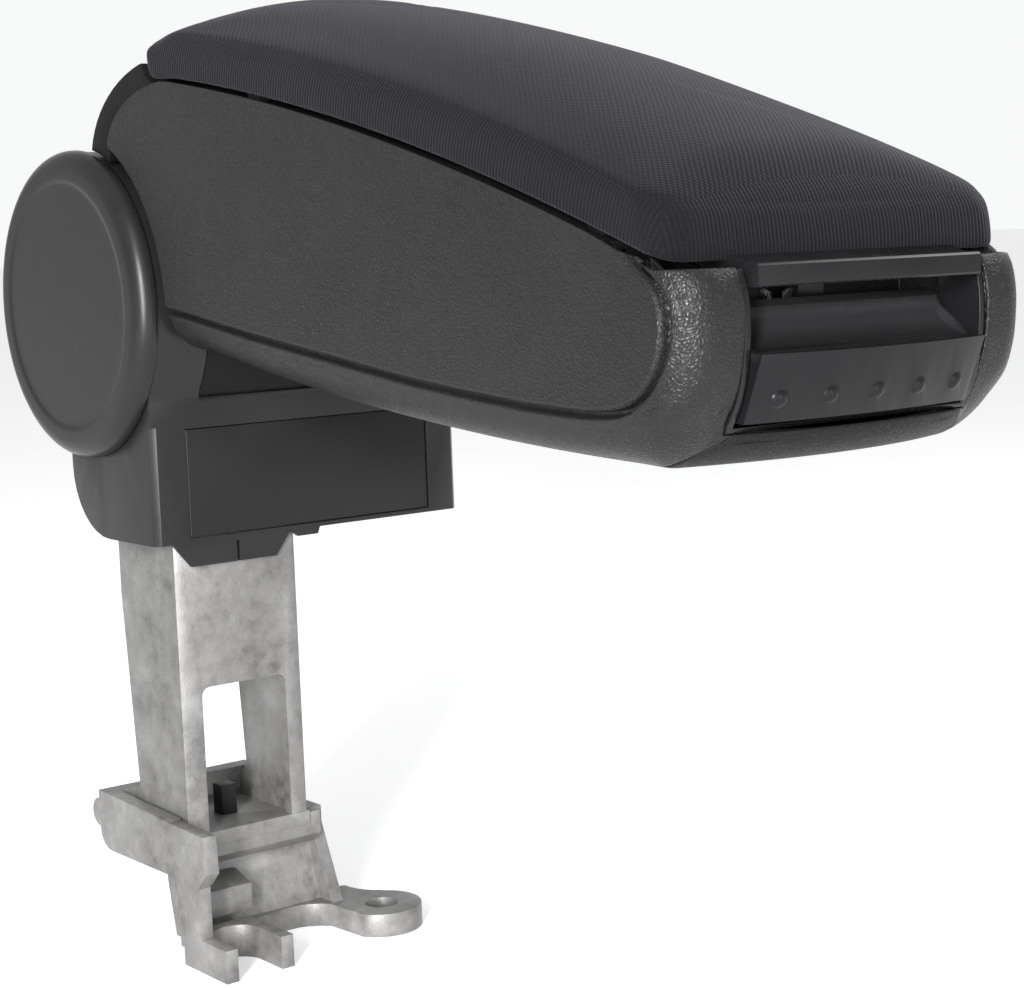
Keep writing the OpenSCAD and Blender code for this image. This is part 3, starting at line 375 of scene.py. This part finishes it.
M_DRUM = plastic("drum_plastic", (0.011, 0.011, 0.0115), (0.014, 0.014, 0.0147), 0.30)
M_GRAIN = leather_grain("grained_plastic", (0.008, 0.008, 0.0084), (0.0155, 0.0155, 0.016), 0.30, 1.33)
M_BELLY = leather_grain("grained_plastic_belly", (0.008, 0.008, 0.0084), (0.015, 0.015, 0.0155), 0.42, 1.19)
M_KNIT = knit("lid_fabric")
M_STEEL = metal("machined_steel", (0.42, 0.43, 0.44), (0.60, 0.61, 0.62), 0.3)
SLOT_MATERIAL = {
    "cast_metal": cast_metal("cast_metal"),
    "machined_steel": M_STEEL,
    "black_steel": metal("black_steel", (0.09, 0.093, 0.098), (0.16, 0.165, 0.17), 0.4),
    "bronze": metal("bronze", (0.38, 0.26, 0.12), (0.55, 0.40, 0.20), 0.38),
    "drum_plastic": M_DRUM,
    "insert_plastic": plastic("insert_plastic", (0.006, 0.006, 0.0063), (0.008, 0.008, 0.0083), 0.45),
    "grained_plastic": M_GRAIN,
    "tray_plastic": plastic("tray_plastic", (0.008, 0.008, 0.009), (0.012, 0.012, 0.013), 0.6),
    "gloss_black": plastic("gloss_black", (0.007, 0.007, 0.0077), (0.010, 0.010, 0.0107), 0.27, 1500.0, 0.00001, 1.33),
    "bush_plastic": plastic("bush_plastic", (0.55, 0.54, 0.49), (0.66, 0.65, 0.60), 0.5),
    "lid_fabric": M_KNIT,
    "rubber_black": plastic("rubber_black", (0.006, 0.006, 0.006), (0.010, 0.010, 0.010), 0.7),
    "cap_black": plastic("cap_black", (0.006, 0.006, 0.0065), (0.010, 0.010, 0.0105), 0.5),
}
NODE_MATERIAL = {
    "rear_cover": plastic("cover_plastic", (0.006, 0.006, 0.0065), (0.008, 0.008, 0.0086), 0.45, ior=1.18),
    "release_paddle": paddle_plastic("paddle_black"),
}
for sub in frame["record"]["subparts"]:
    for s in NODES[sub["node"]].material_slots:
        s.material = NODE_MATERIAL.get(sub["node"], SLOT_MATERIAL[sub["material_slot"]])

# Width in m of the soft edges on the rigid solids that stay
EDGES = {
    "foot_casting": 0.0011, "post_casting": 0.0009, "base_cover": 0.0009, "front_insert": 0.0005,
    "front_frame": 0.0004, "lid_base": 0.0004, "release_paddle": 0.0004, "bolt_cap": 0.0006,
    "rear_cover": 0.0006, "storage_tray": 0.0004, "arm_frame": 0.0004, "clamp_bolt": 0.0003,
}
for name, width in EDGES.items():
    ob = NODES[name]
    modifier(ob, "WELD", merge_threshold=0.00001)
    modifier(ob, "BEVEL", width=width, segments=3, limit_method="ANGLE", angle_limit=math.radians(38),
             harden_normals=True, use_clamp_overlap=True)
    for p in ob.data.polygons:
        p.use_smooth = True

# ---------- hinge end caps ----------
CAP_R, CAP_T = 51.5, 7.0
CAP_GAP = 0.1  # between the drum's cheek and the cap
CAP_DISH = 0.45  # depth of the cap's flat middle below its ring
CAP_STEPS = 144


def cap_profile():
    """Radius and height of the end cap: face, shallow ring step, filleted rim, back."""
    face, step_r, step_w, ring_r, rim = CAP_T - CAP_DISH, 40.2, 2.2, 43.6, 6
    pts = [(0.0, face)]
    pts += [(r, face) for r in np.linspace(4, step_r, 14)]
    pts += [(step_r + step_w * t, face + CAP_DISH * smooth(0, 1, t)) for t in np.linspace(0, 1, 7)[1:]]
    pts.append((ring_r, CAP_T))
    for a in np.radians(np.linspace(90, 0, 14)):
        pts.append((CAP_R - rim + rim * math.cos(a), 1 + (CAP_T - 1) * math.sin(a)))
    return pts + [(CAP_R, 0.25), (CAP_R - 0.3, 0.0), (CAP_R - 4, 0.0), (CAP_R - 5, 1.0), (0.0, 1.0)]


def end_cap(name, side, replaced):
    prof = [(r, side * (HALF + CAP_GAP + h)) for r, h in cap_profile()]
    rings, n = prof[1:-1], CAP_STEPS
    turns = [2 * math.pi * k / n for k in range(n)]
    pts = [(r * math.cos(a), y, r * math.sin(a)) for r, y in rings for a in turns]
    front, back, last = len(pts), len(pts) + 1, (len(rings) - 1) * n
    pts += [(0, prof[0][1], 0), (0, prof[-1][1], 0)]
    faces = tube_faces(len(rings), n)
    for k in range(n):
        faces.append([front, (k + 1) % n, k])
        faces.append([back, last + k, last + (k + 1) % n])
    if side < 0:
        faces = [f[::-1] for f in faces]
    build(name, pts, faces, "base", replaced, M_DRUM)


end_cap("cap_face_right", -1, "hinge_cap_right")
end_cap("cap_face_left", 1, "hinge_cap_left")

# ---------- armrest shell ----------
SKIN = 2.6  # wall thickness
SIDE_V, CORNER_V = 0.5, 0.75  # v where the flat side ends, and where the parting line lies on the corner
CORNER_TURN = 73.7  # degrees of the corner above the parting line
ROUNDED_V = 0.3  # share of the last quarter of v that finishes the corner
REAR_ARC_Z, REAR_ARC_X, REAR_ARC_H = 50.0, 38.5, 19.5  # the rounded rear top: where it starts, its length and height
CHEEK_CLEAR, MIDDLE_CLEAR, MIDDLE_HALF = 57.2, 51.4, 42.0  # radii cut for the drum's cheeks and middle
BULGE = 0.5  # how far the flat side bows out
PANEL_RISE, GROOVE_DEPTH, LIP_RISE = 1.1, 2.1, 0.3
PARTING_DEPTH, PARTING_HALF = 0.8, 0.4  # groove between side shell and belly
EDGE_ROLL, NOSE_ROLL = 0.8, 0.9  # radii of the rounded edges
# Outline of the raised side panel: lower edge, nose, then past the seam and the drum, where nothing shows
PANEL = [(55, -0.6), (66, -1.8), (80.7, -4), (109.6, -8.4), (152, -14), (186, -18.7), (213, -21.6), (238, -23.8),
         (253.6, -24.6), (262, -24.8), (268.8, -24.5), (275, -23.9), (279.8, -22.8), (284, -20.6), (287, -17.6),
         (289, -13.8), (290.3, -9.0), (290.7, -4.5), (290.4, -0.1), (289.3, 3.4), (287.2, 6.3), (284, 9.2),
         (279, 13.0), (272, 18.5)]
PANEL += [(x, seam_z(x) + 6) for x in np.linspace(262, SEAM_X0 + 2, 20)] + [(20, 80), (10, 0), (40, -0.2)]
PANEL = np.array(PANEL)
# Foremost station of the nose at each height
NOSE_EDGE = [(-40, 285.5), (-31, 290.0), (-28.5, 291.3), (-22, 295.4), (-14, 298.2), (-6, 299.2), (0, 299.2),
             (6, 298.0), (10.5, 295.5)]
NOSE_BEND_X = 262  # where the nose starts to follow that curve
CHIN_HALF, CHIN_SHARE = 46, 0.71  # the chin bulges forward in plan, by this share of its set-back
CHIN_TOP, CHIN_FULL = -27, -31  # heights where that begins, and from where on it is whole


def shell_point(x, v):
    """Right half of the shell at station x; v runs from the seam (0) round the corner to the belly's middle (1)."""
    w, top, low, r = half_w(x), seam_z(x), belly_z(x), BELLY_R
    if v < SIDE_V:
        t = v / SIDE_V
        bow = BULGE * math.sin(math.pi * t) * smooth(NOSE_X, NOSE_C - 20, x)
        return x, -(w + bow), top + (low + r - top) * t
    t = (v - CORNER_V) / (1 - CORNER_V)
    if v < CORNER_V:
        turn = CORNER_TURN * (v - SIDE_V) / (CORNER_V - SIDE_V)
    elif t < ROUNDED_V:
        turn = CORNER_TURN + (90 - CORNER_TURN) * t / ROUNDED_V
    else:
        return x, -(w - r) * (1 - (t - ROUNDED_V) / (1 - ROUNDED_V)), low
    a = math.radians(turn)
    return x, -(w - r + r * math.cos(a)), low + r - r * math.sin(a)


def behind(x, v):
    """True where the shell is cut away beside the drum or for the rear cover."""
    _, y, z = shell_point(x, v)
    if z > REAR_ARC_Z:
        edge = SEAM_X0 - REAR_ARC_X * math.sqrt(max(0, 1 - ((z - REAR_ARC_Z) / REAR_ARC_H) ** 2))
        return x < max(edge, math.sqrt(max(0, CHEEK_CLEAR ** 2 - z * z)))
    return math.hypot(x, z) < (CHEEK_CLEAR if abs(y) > MIDDLE_HALF else MIDDLE_CLEAR)


def whole(x, v):
    """True where the nose's opening doesn't cut the shell."""
    _, y, z = shell_point(x, v)
    return abs(y) >= OPEN_HALF or z <= OPEN_Z + 0.01


def bisect(test, v, lo, hi):
    """Station between lo (test is true) and hi (test is false) where the test changes."""
    for _ in range(40):
        mid = (lo + hi) / 2
        if test(mid, v):
            lo = mid
        else:
            hi = mid
    return (lo + hi) / 2


def panel_distance(px, pz):
    """Signed distance to the panel's outline, more than 0 inside; arrays in, array out."""
    p = np.stack([px, pz], -1)[:, None, :]
    a = PANEL[None]
    b = np.roll(PANEL, -1, 0)[None]
    ab = b - a
    t = np.clip(((p - a) * ab).sum(-1) / (ab * ab).sum(-1), 0, 1)
    d = np.linalg.norm(p - a - ab * t[..., None], axis=-1).min(1)
    spans = ((a[..., 1] > p[..., 1]) != (b[..., 1] > p[..., 1]))
    crossing = a[..., 0] + (p[..., 1] - a[..., 1]) * ab[..., 0] / np.where(ab[..., 1] == 0, 1e-9, ab[..., 1])
    inside = (spans & (p[..., 0] < crossing)).sum(1) % 2 == 1
    return np.where(inside, d, -d)


def relief(d):
    """Height of the side panel, its groove and the groove's lip at signed distance d from the panel's outline."""
    def step(a, b):
        t = np.clip((d - a) / (b - a), 0, 1)
        return t ** 2 * (3 - 2 * t)

    panel = PANEL_RISE * step(-0.4, 0.9)
    groove = GROOVE_DEPTH * (step(-2.15, -1.7) - step(-0.65, -0.2))
    lip = LIP_RISE * (step(-5.0, -3.0) - step(-2.5, -2.1))
    return panel - groove + lip


def spaced(lo, hi, step):
    return np.linspace(lo, hi, max(1, int(round((hi - lo) / step))) + 1)


def stations(*runs):
    return np.unique(np.round(np.concatenate(runs), 6))


# Shares along the shell (dense at the cut edges and the nose) and round it (dense at grooves)
US = stations([0, 0.0006, 0.0014, 0.0026], spaced(0.0045, 0.80, 0.0041), spaced(0.80, 0.955, 0.0016),
              spaced(0.955, 0.993, 0.003), [0.9955, 0.9975, 0.9988, 0.9995, 1.0])
VS = stations([0, 0.001, 0.0025, 0.005, 0.008], spaced(0.012, 0.03, 0.003), spaced(0.03, 0.47, 0.0088),
              spaced(0.47, 0.575, 0.0031), spaced(0.575, 0.725, 0.0085), spaced(0.725, 0.775, 0.0025),
              spaced(0.775, 1, 0.0105))
K_PART = int(np.searchsorted(VS, CORNER_V - 0.001))  # row of the parting line


def shell_row(v):
    """Points at one v from the drum to the nose: along the side, round the nose's corner, across its flat front."""
    x0 = bisect(behind, v, 0.0, 120.0)
    x1 = NOSE_X
    if not whole(NOSE_X - 1e-4, v):
        x1 = bisect(whole, v, 262.0, NOSE_X - 1e-4)
    end = shell_point(NOSE_X, v)
    face = max(0.0, -end[1] - OPEN_HALF) if x1 == NOSE_X and end[2] > OPEN_Z + 0.01 else 0.0
    side = NOSE_C - x0
    bent_from = side / (side + math.pi / 2 * NOSE_R + HALF - NOSE_R - OPEN_HALF)
    turn = math.asin(min(1, (x1 - NOSE_C) / NOSE_R)) * NOSE_R
    row = []
    for u in US:
        q = (u - bent_from) / (1 - bent_from) * (turn + face)
        if u < bent_from:
            row.append(shell_point(x0 + side * u / bent_from, v))
        elif q <= turn:
            row.append(shell_point(min(NOSE_X, NOSE_C + NOSE_R * math.sin(q / NOSE_R)), v))
        else:
            row.append((end[0], end[1] + q - turn, end[2]))
    return row


def rolled(d, r):
    """Drop of a rounded edge of radius r at distance d from it."""
    d = np.clip(d, 0, r)
    return r - np.sqrt(np.maximum(0, r * r - (r - d) ** 2))


def lengths(g, axis):
    """Length along the grid from its first row or column to each point."""
    first = np.zeros_like(np.take(g, [0], axis)[..., 0])
    return np.cumsum(np.concatenate([first, np.linalg.norm(np.diff(g, axis=axis), axis=-1)], axis), axis)


def finish_grid(g):
    """Relief, grooves, rolled edges and the nose's curve on the shell's right half."""
    n, m, _ = g.shape
    nrm = np.cross(np.gradient(g, axis=1), np.gradient(g, axis=0))
    nrm /= np.maximum(np.linalg.norm(nrm, axis=-1, keepdims=True), 1e-9)
    if nrm[n // 4, m // 2, 1] > 0:
        nrm = -nrm
    row_v = VS[:, None]
    nrm[(row_v < 0.48) & (g[..., 0] < NOSE_C - 1)] = (0, -1, 0)
    panel = relief(panel_distance(g[..., 0].ravel(), g[..., 2].ravel())).reshape(n, m)
    facing_side = np.clip((-nrm[..., 1] - 0.35) / 0.3, 0, 1)
    h = np.where(row_v < 0.62, panel * facing_side, 0)
    down, along = lengths(g, 0), lengths(g, 1)
    h = h - PARTING_DEPTH * np.exp(-(np.abs(down - down[K_PART][None]) / PARTING_HALF) ** 2)
    h = h - rolled(down, EDGE_ROLL) - rolled(along, EDGE_ROLL) - rolled(along[:, -1:] - along, NOSE_ROLL)
    out = g + nrm * h[..., None]
    for i in range(n):
        for j in range(m):
            x, y, z = out[i, j]
            if x > NOSE_BEND_X:
                back = NOSE_X - curve_table(NOSE_EDGE, z)
                chin = smooth(CHIN_TOP, CHIN_FULL, z) * CHIN_SHARE * (1 - min(1, abs(y) / CHIN_HALF) ** 2)
                out[i, j, 0] = x - back * (1 - chin) * smooth(NOSE_BEND_X, NOSE_X, x)
    return out


SHELL = finish_grid(np.array([shell_row(v) for v in VS]))


def shell_piece(name, rows, sides, replaced, material):
    """Some rows of the shell grid as a piece of its own, on one side or both."""
    pts, faces, index = [], [], {}
    for side in sides:
        for i in rows:
            for j in range(SHELL.shape[1] - 1):
                quad = []
                for a, b in ((i, j), (i, j + 1), (i + 1, j + 1), (i + 1, j)):
                    x, y, z = SHELL[a, b]
                    key = (a, b, side if abs(y) > 1e-6 else 0)
                    if key not in index:
                        index[key] = len(pts)
                        pts.append((x, -side * y, z))
                    quad.append(index[key])
                faces.append(quad if side > 0 else quad[::-1])
    ob = build(name, pts, faces, "armrest", replaced, material)
    modifier(ob, "SOLIDIFY", thickness=SKIN / 1000, offset=-1, use_even_offset=False)


shell_piece("side_skin_right", range(K_PART), (-1,), "side_shell_right", M_GRAIN)
shell_piece("side_skin_left", range(K_PART), (1,), "side_shell_left", M_GRAIN)
shell_piece("belly_skin", range(K_PART, len(VS) - 1), (-1, 1), "lower_shell", M_BELLY)

# ---------- paddle springs ----------
SPRING_X0, SPRING_X1, SPRING_Y, SPRING_Z = 271.67, 284.73, 10.7, -23
SPRING_R, WIRE_R, SPRING_TURNS, SPRING_STEPS, WIRE_STEPS = 2.6, 0.5, 5, 200, 8


def springs():
    """Two coils in place of the paddle's springs, at rest: they ride on no body, so they stay with the frame."""
    pts, faces = [], []
    for side in (-1, 1):
        at = len(pts)
        for i in range(SPRING_STEPS + 1):
            u = i / SPRING_STEPS
            a, x = 2 * math.pi * SPRING_TURNS * u, SPRING_X0 + (SPRING_X1 - SPRING_X0) * u
            for j in range(WIRE_STEPS):
                b = 2 * math.pi * j / WIRE_STEPS
                r = SPRING_R + WIRE_R * math.cos(b)
                pts.append((x + WIRE_R * math.sin(b), side * SPRING_Y + r * math.cos(a), SPRING_Z + r * math.sin(a)))
        faces += tube_faces(SPRING_STEPS + 1, WIRE_STEPS, at)
        faces.append([at + j for j in range(WIRE_STEPS)][::-1])
        faces.append([at + SPRING_STEPS * WIRE_STEPS + j for j in range(WIRE_STEPS)])
    ob = build("coil_springs", pts, faces, None, "paddle_spring", M_STEEL)
    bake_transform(ob)


springs()

# ---------- padded lid ----------
LID_X0, LID_X1, LID_HALF = 49.9, 290.0, 61.1
SKIRT, CROWN = 13.5, 13.5  # height of the fabric band, and of the crown over it
PIN_X, PIN_Z, PIN_CLEAR = 57.0, 77.5, 7.2  # the lid's hinge pin, and the pad's underside round it
REAR_CORNER = 4.5  # plan radius of the rear corners
EAR_SLOT = (47.0, 62.4), (24.5, 31.6), (62.0, 82.7)  # x, |y| and z of the slots for the hinge ears
CREASE_WEIGHT = 0.75  # sharpness of the crease in the subdivision
CLOTH_FRAMES = 20
INFLATE_CAP = 0.0018  # largest move in m that the cloth simulation may make


def lid_low(x):
    """Height of the pad's lower edge."""
    if x < PIN_X:
        return PIN_Z - math.sqrt(max(0, PIN_CLEAR ** 2 - (PIN_X - x) ** 2))
    if x < SEAM_X0:
        low = PIN_Z - PIN_CLEAR
        return low + (x - PIN_X) / (SEAM_X0 - PIN_X) * (SEAM_Z0 + LID_GAP - low)
    return seam_z(x) + LID_GAP


def crease_z(x):
    """Height of the crease between the fabric band and the top."""
    return seam_z(x) + LID_GAP + SKIRT - 2.5 * (1 - smooth(52, 70, x))


def crown_z(x, y, f):
    """Height of the crown over the crease; f is the share of the way from the crease to the middle."""
    across = 1 - min(1, abs(y) / LID_HALF) ** 2.4
    front = 1 - (1 - min(1, max(0, (LID_X1 - x) / 18))) ** 2.4
    rear = 1 - (1 - min(1, max(0, (x - LID_X0) / 36))) ** 2
    edge = 1 - (1 - min(1, f / 0.1)) ** 2
    return CROWN * (1 - 0.3 * max(0, (x - 190) / 100)) * across * front * rear * edge


def lid_outline(rf):
    """Plan outline of the lid with front corners of radius rf, from the rear's middle round the right side."""
    rc, pts = REAR_CORNER, []

    def line(x0, y0, x1, y1, n):
        pts.extend([(x0 + (x1 - x0) * i / n, y0 + (y1 - y0) * i / n) for i in range(n)])

    def arc(cx, cy, r, a0, n):
        for i in range(n):
            a = math.radians(a0 + 90 * i / n)
            pts.append((cx + r * math.cos(a), cy + r * math.sin(a)))

    line(LID_X0, 0, LID_X0, -LID_HALF + rc, 15)
    arc(LID_X0 + rc, -LID_HALF + rc, rc, 180, 6)
    line(LID_X0 + rc, -LID_HALF, LID_X1 - rf, -LID_HALF, 62)
    arc(LID_X1 - rf, -LID_HALF + rf, rf, -90, 9)
    line(LID_X1, -LID_HALF + rf, LID_X1, LID_HALF - rf, 28)
    arc(LID_X1 - rf, LID_HALF - rf, rf, 0, 9)
    line(LID_X1 - rf, LID_HALF, LID_X0 + rc, LID_HALF, 62)
    arc(LID_X0 + rc, LID_HALF - rc, rc, 90, 6)
    line(LID_X0, LID_HALF - rc, LID_X0, 0, 15)
    return np.array(pts)


def lid_rings():
    """The pad as closed rings, from the middle of its underside round the skirt to the middle of its top.

    Returns the rings, whether each is pinned in the cloth simulation, and the index of the crease's ring."""
    outline, foot = lid_outline(12.0), lid_outline(7.0)
    centre = np.array([[min(max(x, 115), 228), 0.0] for x, _ in outline])
    rings, pinned = [], []

    def ring(f, low, height, pin):
        """f is the share of the way to the middle line, low the blend from the outline to the foot's."""
        base = outline + (foot - outline) * low
        rings.append([(x, y, height(x, y)) for x, y in base + (centre - base) * f])
        pinned.append(pin)

    for f in (1.0, 0.7, 0.4, 0.16):
        ring(f, 1.0, lambda x, y: max(crease_z(x) - 3.0, lid_low(x) + 3.4), True)
    ring(0.085, 1.0, lambda x, y: lid_low(x) + 3.4, True)
    ring(0.08, 1.0, lambda x, y: lid_low(x) + 0.2, True)
    ring(0.022, 1.0, lambda x, y: lid_low(x), True)
    ring(0.004, 0.95, lambda x, y: lid_low(x) + (crease_z(x) - lid_low(x)) * 0.05, True)
    for f, t in ((-0.002, 0.2), (-0.006, 0.45), (-0.007, 0.7), (-0.002, 0.9)):
        ring(f, 1 - t, lambda x, y: lid_low(x) + (crease_z(x) - lid_low(x)) * t, False)
    crease = len(rings)
    ring(0.016, 0.0, lambda x, y: crease_z(x), True)
    for f in (0.03, 0.07, 0.12, 0.18, 0.25, 0.33, 0.42, 0.52, 0.62, 0.73, 0.85, 1.0):
        ring(f, 0.0, lambda x, y: crease_z(x) + 0.9 * smooth(0.016, 0.03, f) + crown_z(x, y, f), False)
    return rings, pinned, crease


def sharpen(mesh, points):
    """Welds the pad's mesh and gives the edges between these points a crease for the subdivision."""
    bm = bmesh.new()
    bm.from_mesh(mesh)
    bmesh.ops.remove_doubles(bm, verts=bm.verts, dist=0.00002)
    bmesh.ops.recalc_face_normals(bm, faces=bm.faces)
    layer = bm.edges.layers.float.get("crease_edge") or bm.edges.layers.float.new("crease_edge")
    keys = {tuple(round(c, 5) for c in Vector(q)) for q in to_row(points)}
    for e in bm.edges:
        if all(tuple(round(c, 5) for c in v.co) in keys for v in e.verts):
            e[layer] = CREASE_WEIGHT
    bm.to_mesh(mesh)
    bm.free()


def inflate(ob):
    """Runs a short cloth simulation with inner pressure and keeps its result, with each point's move capped."""
    rest = np.array([v.co[:] for v in ob.data.vertices])
    mod = ob.modifiers.new("cloth", "CLOTH")
    cs = mod.settings
    cs.quality = 6
    cs.mass = 0.2
    cs.tension_stiffness = 12
    cs.compression_stiffness = 6
    cs.bending_stiffness = 3.0
    cs.use_pressure = True
    cs.uniform_pressure_force = 2.0
    cs.vertex_group_mass = "pin"
    cs.shrink_min = 0.002
    cs.effector_weights.gravity = 0
    mod.collision_settings.use_self_collision = False
    mod.point_cache.frame_start = 1
    mod.point_cache.frame_end = CLOTH_FRAMES
    sc = bpy.context.scene
    for f in range(1, CLOTH_FRAMES + 1):
        sc.frame_set(f)
    posed = ob.evaluated_get(bpy.context.evaluated_depsgraph_get())
    co = np.array([v.co[:] for v in posed.data.vertices])
    ob.modifiers.remove(mod)
    sc.frame_set(1)
    if co.shape == rest.shape and np.isfinite(co).all():
        move = co - rest
        size = np.linalg.norm(move, axis=1, keepdims=True)
        move *= np.minimum(1, INFLATE_CAP / np.maximum(size, 1e-9))
        print("lid inflated, largest move in mm:", round(float(size.max()) * 1000, 2))
        ob.data.vertices.foreach_set("co", (rest + move).ravel())
        ob.data.update()


def cut_ear_slots(ob):
    """Slots in the pad's rear for the rear cover's two hinge ears, so that the lid can turn."""
    pts, faces = [], []
    xs, ys, zs = EAR_SLOT
    for side in (-1, 1):
        at = len(pts)
        pts += [(x, side * y, z) for x in xs for y in ys for z in zs]
        for f in ((0, 1, 3, 2), (4, 6, 7, 5), (0, 4, 5, 1), (2, 3, 7, 6), (0, 2, 6, 4), (1, 5, 7, 3)):
            faces.append([at + i for i in (f if side > 0 else f[::-1])])
    me = bpy.data.meshes.new("slot_cutter")
    me.from_pydata([tuple(p) for p in to_row(pts)], [], faces)
    cutter = bare_object("slot_cutter", me)
    modifier(ob, "BOOLEAN", operation="DIFFERENCE", object=cutter, solver="EXACT")
    bpy.context.view_layer.update()
    cut = bpy.data.meshes.new_from_object(ob.evaluated_get(bpy.context.evaluated_depsgraph_get()))
    ob.modifiers.clear()
    ob.data = cut
    bpy.data.objects.remove(cutter)


def lid_pad():
    rings, pinned, crease = lid_rings()
    n = len(rings[0])
    pts = [p for r in rings for p in r]
    ob = build("lid_pad", pts, tube_faces(len(rings), n), "lid", "lid_cushion", M_KNIT)
    group = ob.vertex_groups.new(name="pin")
    for k, pin in enumerate(pinned):
        if pin:
            group.add(list(range(k * n, (k + 1) * n)), 1.0, "REPLACE")
    sharpen(ob.data, rings[crease])
    inflate(ob)
    modifier(ob, "SUBSURF", levels=2, render_levels=2)
    cut_ear_slots(ob)


lid_pad()

# ---------- stage, lights, camera ----------
LOOK_AT = (0.05, -0.01, 0.2)
CAMERA_AT = (0.6043, -0.4078, 0.2376)
CAMERA_TURN, CAMERA_TILT, CAMERA_ROLL = math.radians(52.0), math.radians(6.9), math.radians(2.1)
FOCAL_SHARE = 2150 / 1024  # focal length over picture width
SENSOR = 36  # width in mm
FLOOR_HALF = 30  # in m


def floor():
    """Plain pale floor, bright enough to meet the backdrop without a hard line."""
    me = bpy.data.meshes.new("floor")
    h = FLOOR_HALF
    me.from_pydata([(-h, -h, 0), (h, -h, 0), (h, h, 0), (-h, h, 0)], [], [(0, 1, 2, 3)])
    m, _, b = new_material("floor")
    settings(b, Base_Color=(0.86, 0.86, 0.87, 1), Roughness=0.9, Emission_Color=(1, 1, 1, 1), Emission_Strength=0.34)
    me.materials.append(m)
    bare_object("floor", me)


def studio():
    """Soft surrounding light, brightest in the direction of the photograph's backdrop."""
    world = bpy.data.worlds.new("studio")
    bpy.context.scene.world = world
    world.use_nodes = True
    nt = world.node_tree
    background = nt.nodes["Background"]
    background.inputs["Color"].default_value = (0.99, 0.995, 1.0, 1)
    toward = node(nt, "ShaderNodeVectorMath", operation="DOT_PRODUCT")
    toward.inputs[1].default_value = (-0.788, 0.616, 0.0)
    nt.links.new(coord(nt, "Generated"), toward.inputs[0])
    nt.links.new(map_range(nt, toward.outputs["Value"], 0.70, 0.90, 0.55, 0.95), background.inputs["Strength"])


def softbox(name, at, target, width, height, power):
    light = bpy.data.lights.new(name, "AREA")
    light.shape = "RECTANGLE"
    light.size, light.size_y = width, height
    light.energy = power
    ob = bare_object(name, light)
    ob.location = at
    ob.rotation_euler = (Vector(target) - Vector(at)).to_track_quat("-Z", "Y").to_euler()


def camera():
    turn, tilt, roll = CAMERA_TURN, CAMERA_TILT, CAMERA_ROLL
    ahead = Vector((-math.sin(turn) * math.cos(tilt), math.cos(turn) * math.cos(tilt), -math.sin(tilt)))
    level = Vector((math.cos(turn), math.sin(turn), 0))
    upright = level.cross(ahead)
    right = math.cos(roll) * level - math.sin(roll) * upright
    up = math.sin(roll) * level + math.cos(roll) * upright
    cam = bpy.data.cameras.new("camera")
    cam.sensor_width = SENSOR
    cam.lens = FOCAL_SHARE * SENSOR
    cam.clip_end = 100
    ob = bare_object("camera", cam)
    ob.matrix_world = Matrix([(right[i], up[i], -ahead[i], CAMERA_AT[i]) for i in range(3)] + [(0, 0, 0, 1)])
    bpy.context.scene.camera = ob


floor()
studio()
softbox("key", (1.0, -1.0, 1.3), LOOK_AT, 0.8, 0.8, 5)
softbox("front_strip", (1.3, -1.45, 0.5), LOOK_AT, 0.22, 1.1, 75)
softbox("back", (0.3, 1.1, 1.1), LOOK_AT, 0.9, 0.9, 6)
softbox("nose_fill", (1.0, 0.0, 0.12), (0.2, 0.0, 0.2), 0.3, 0.3, 1.0)
camera()
bpy.context.scene.view_settings.view_transform = "Standard"
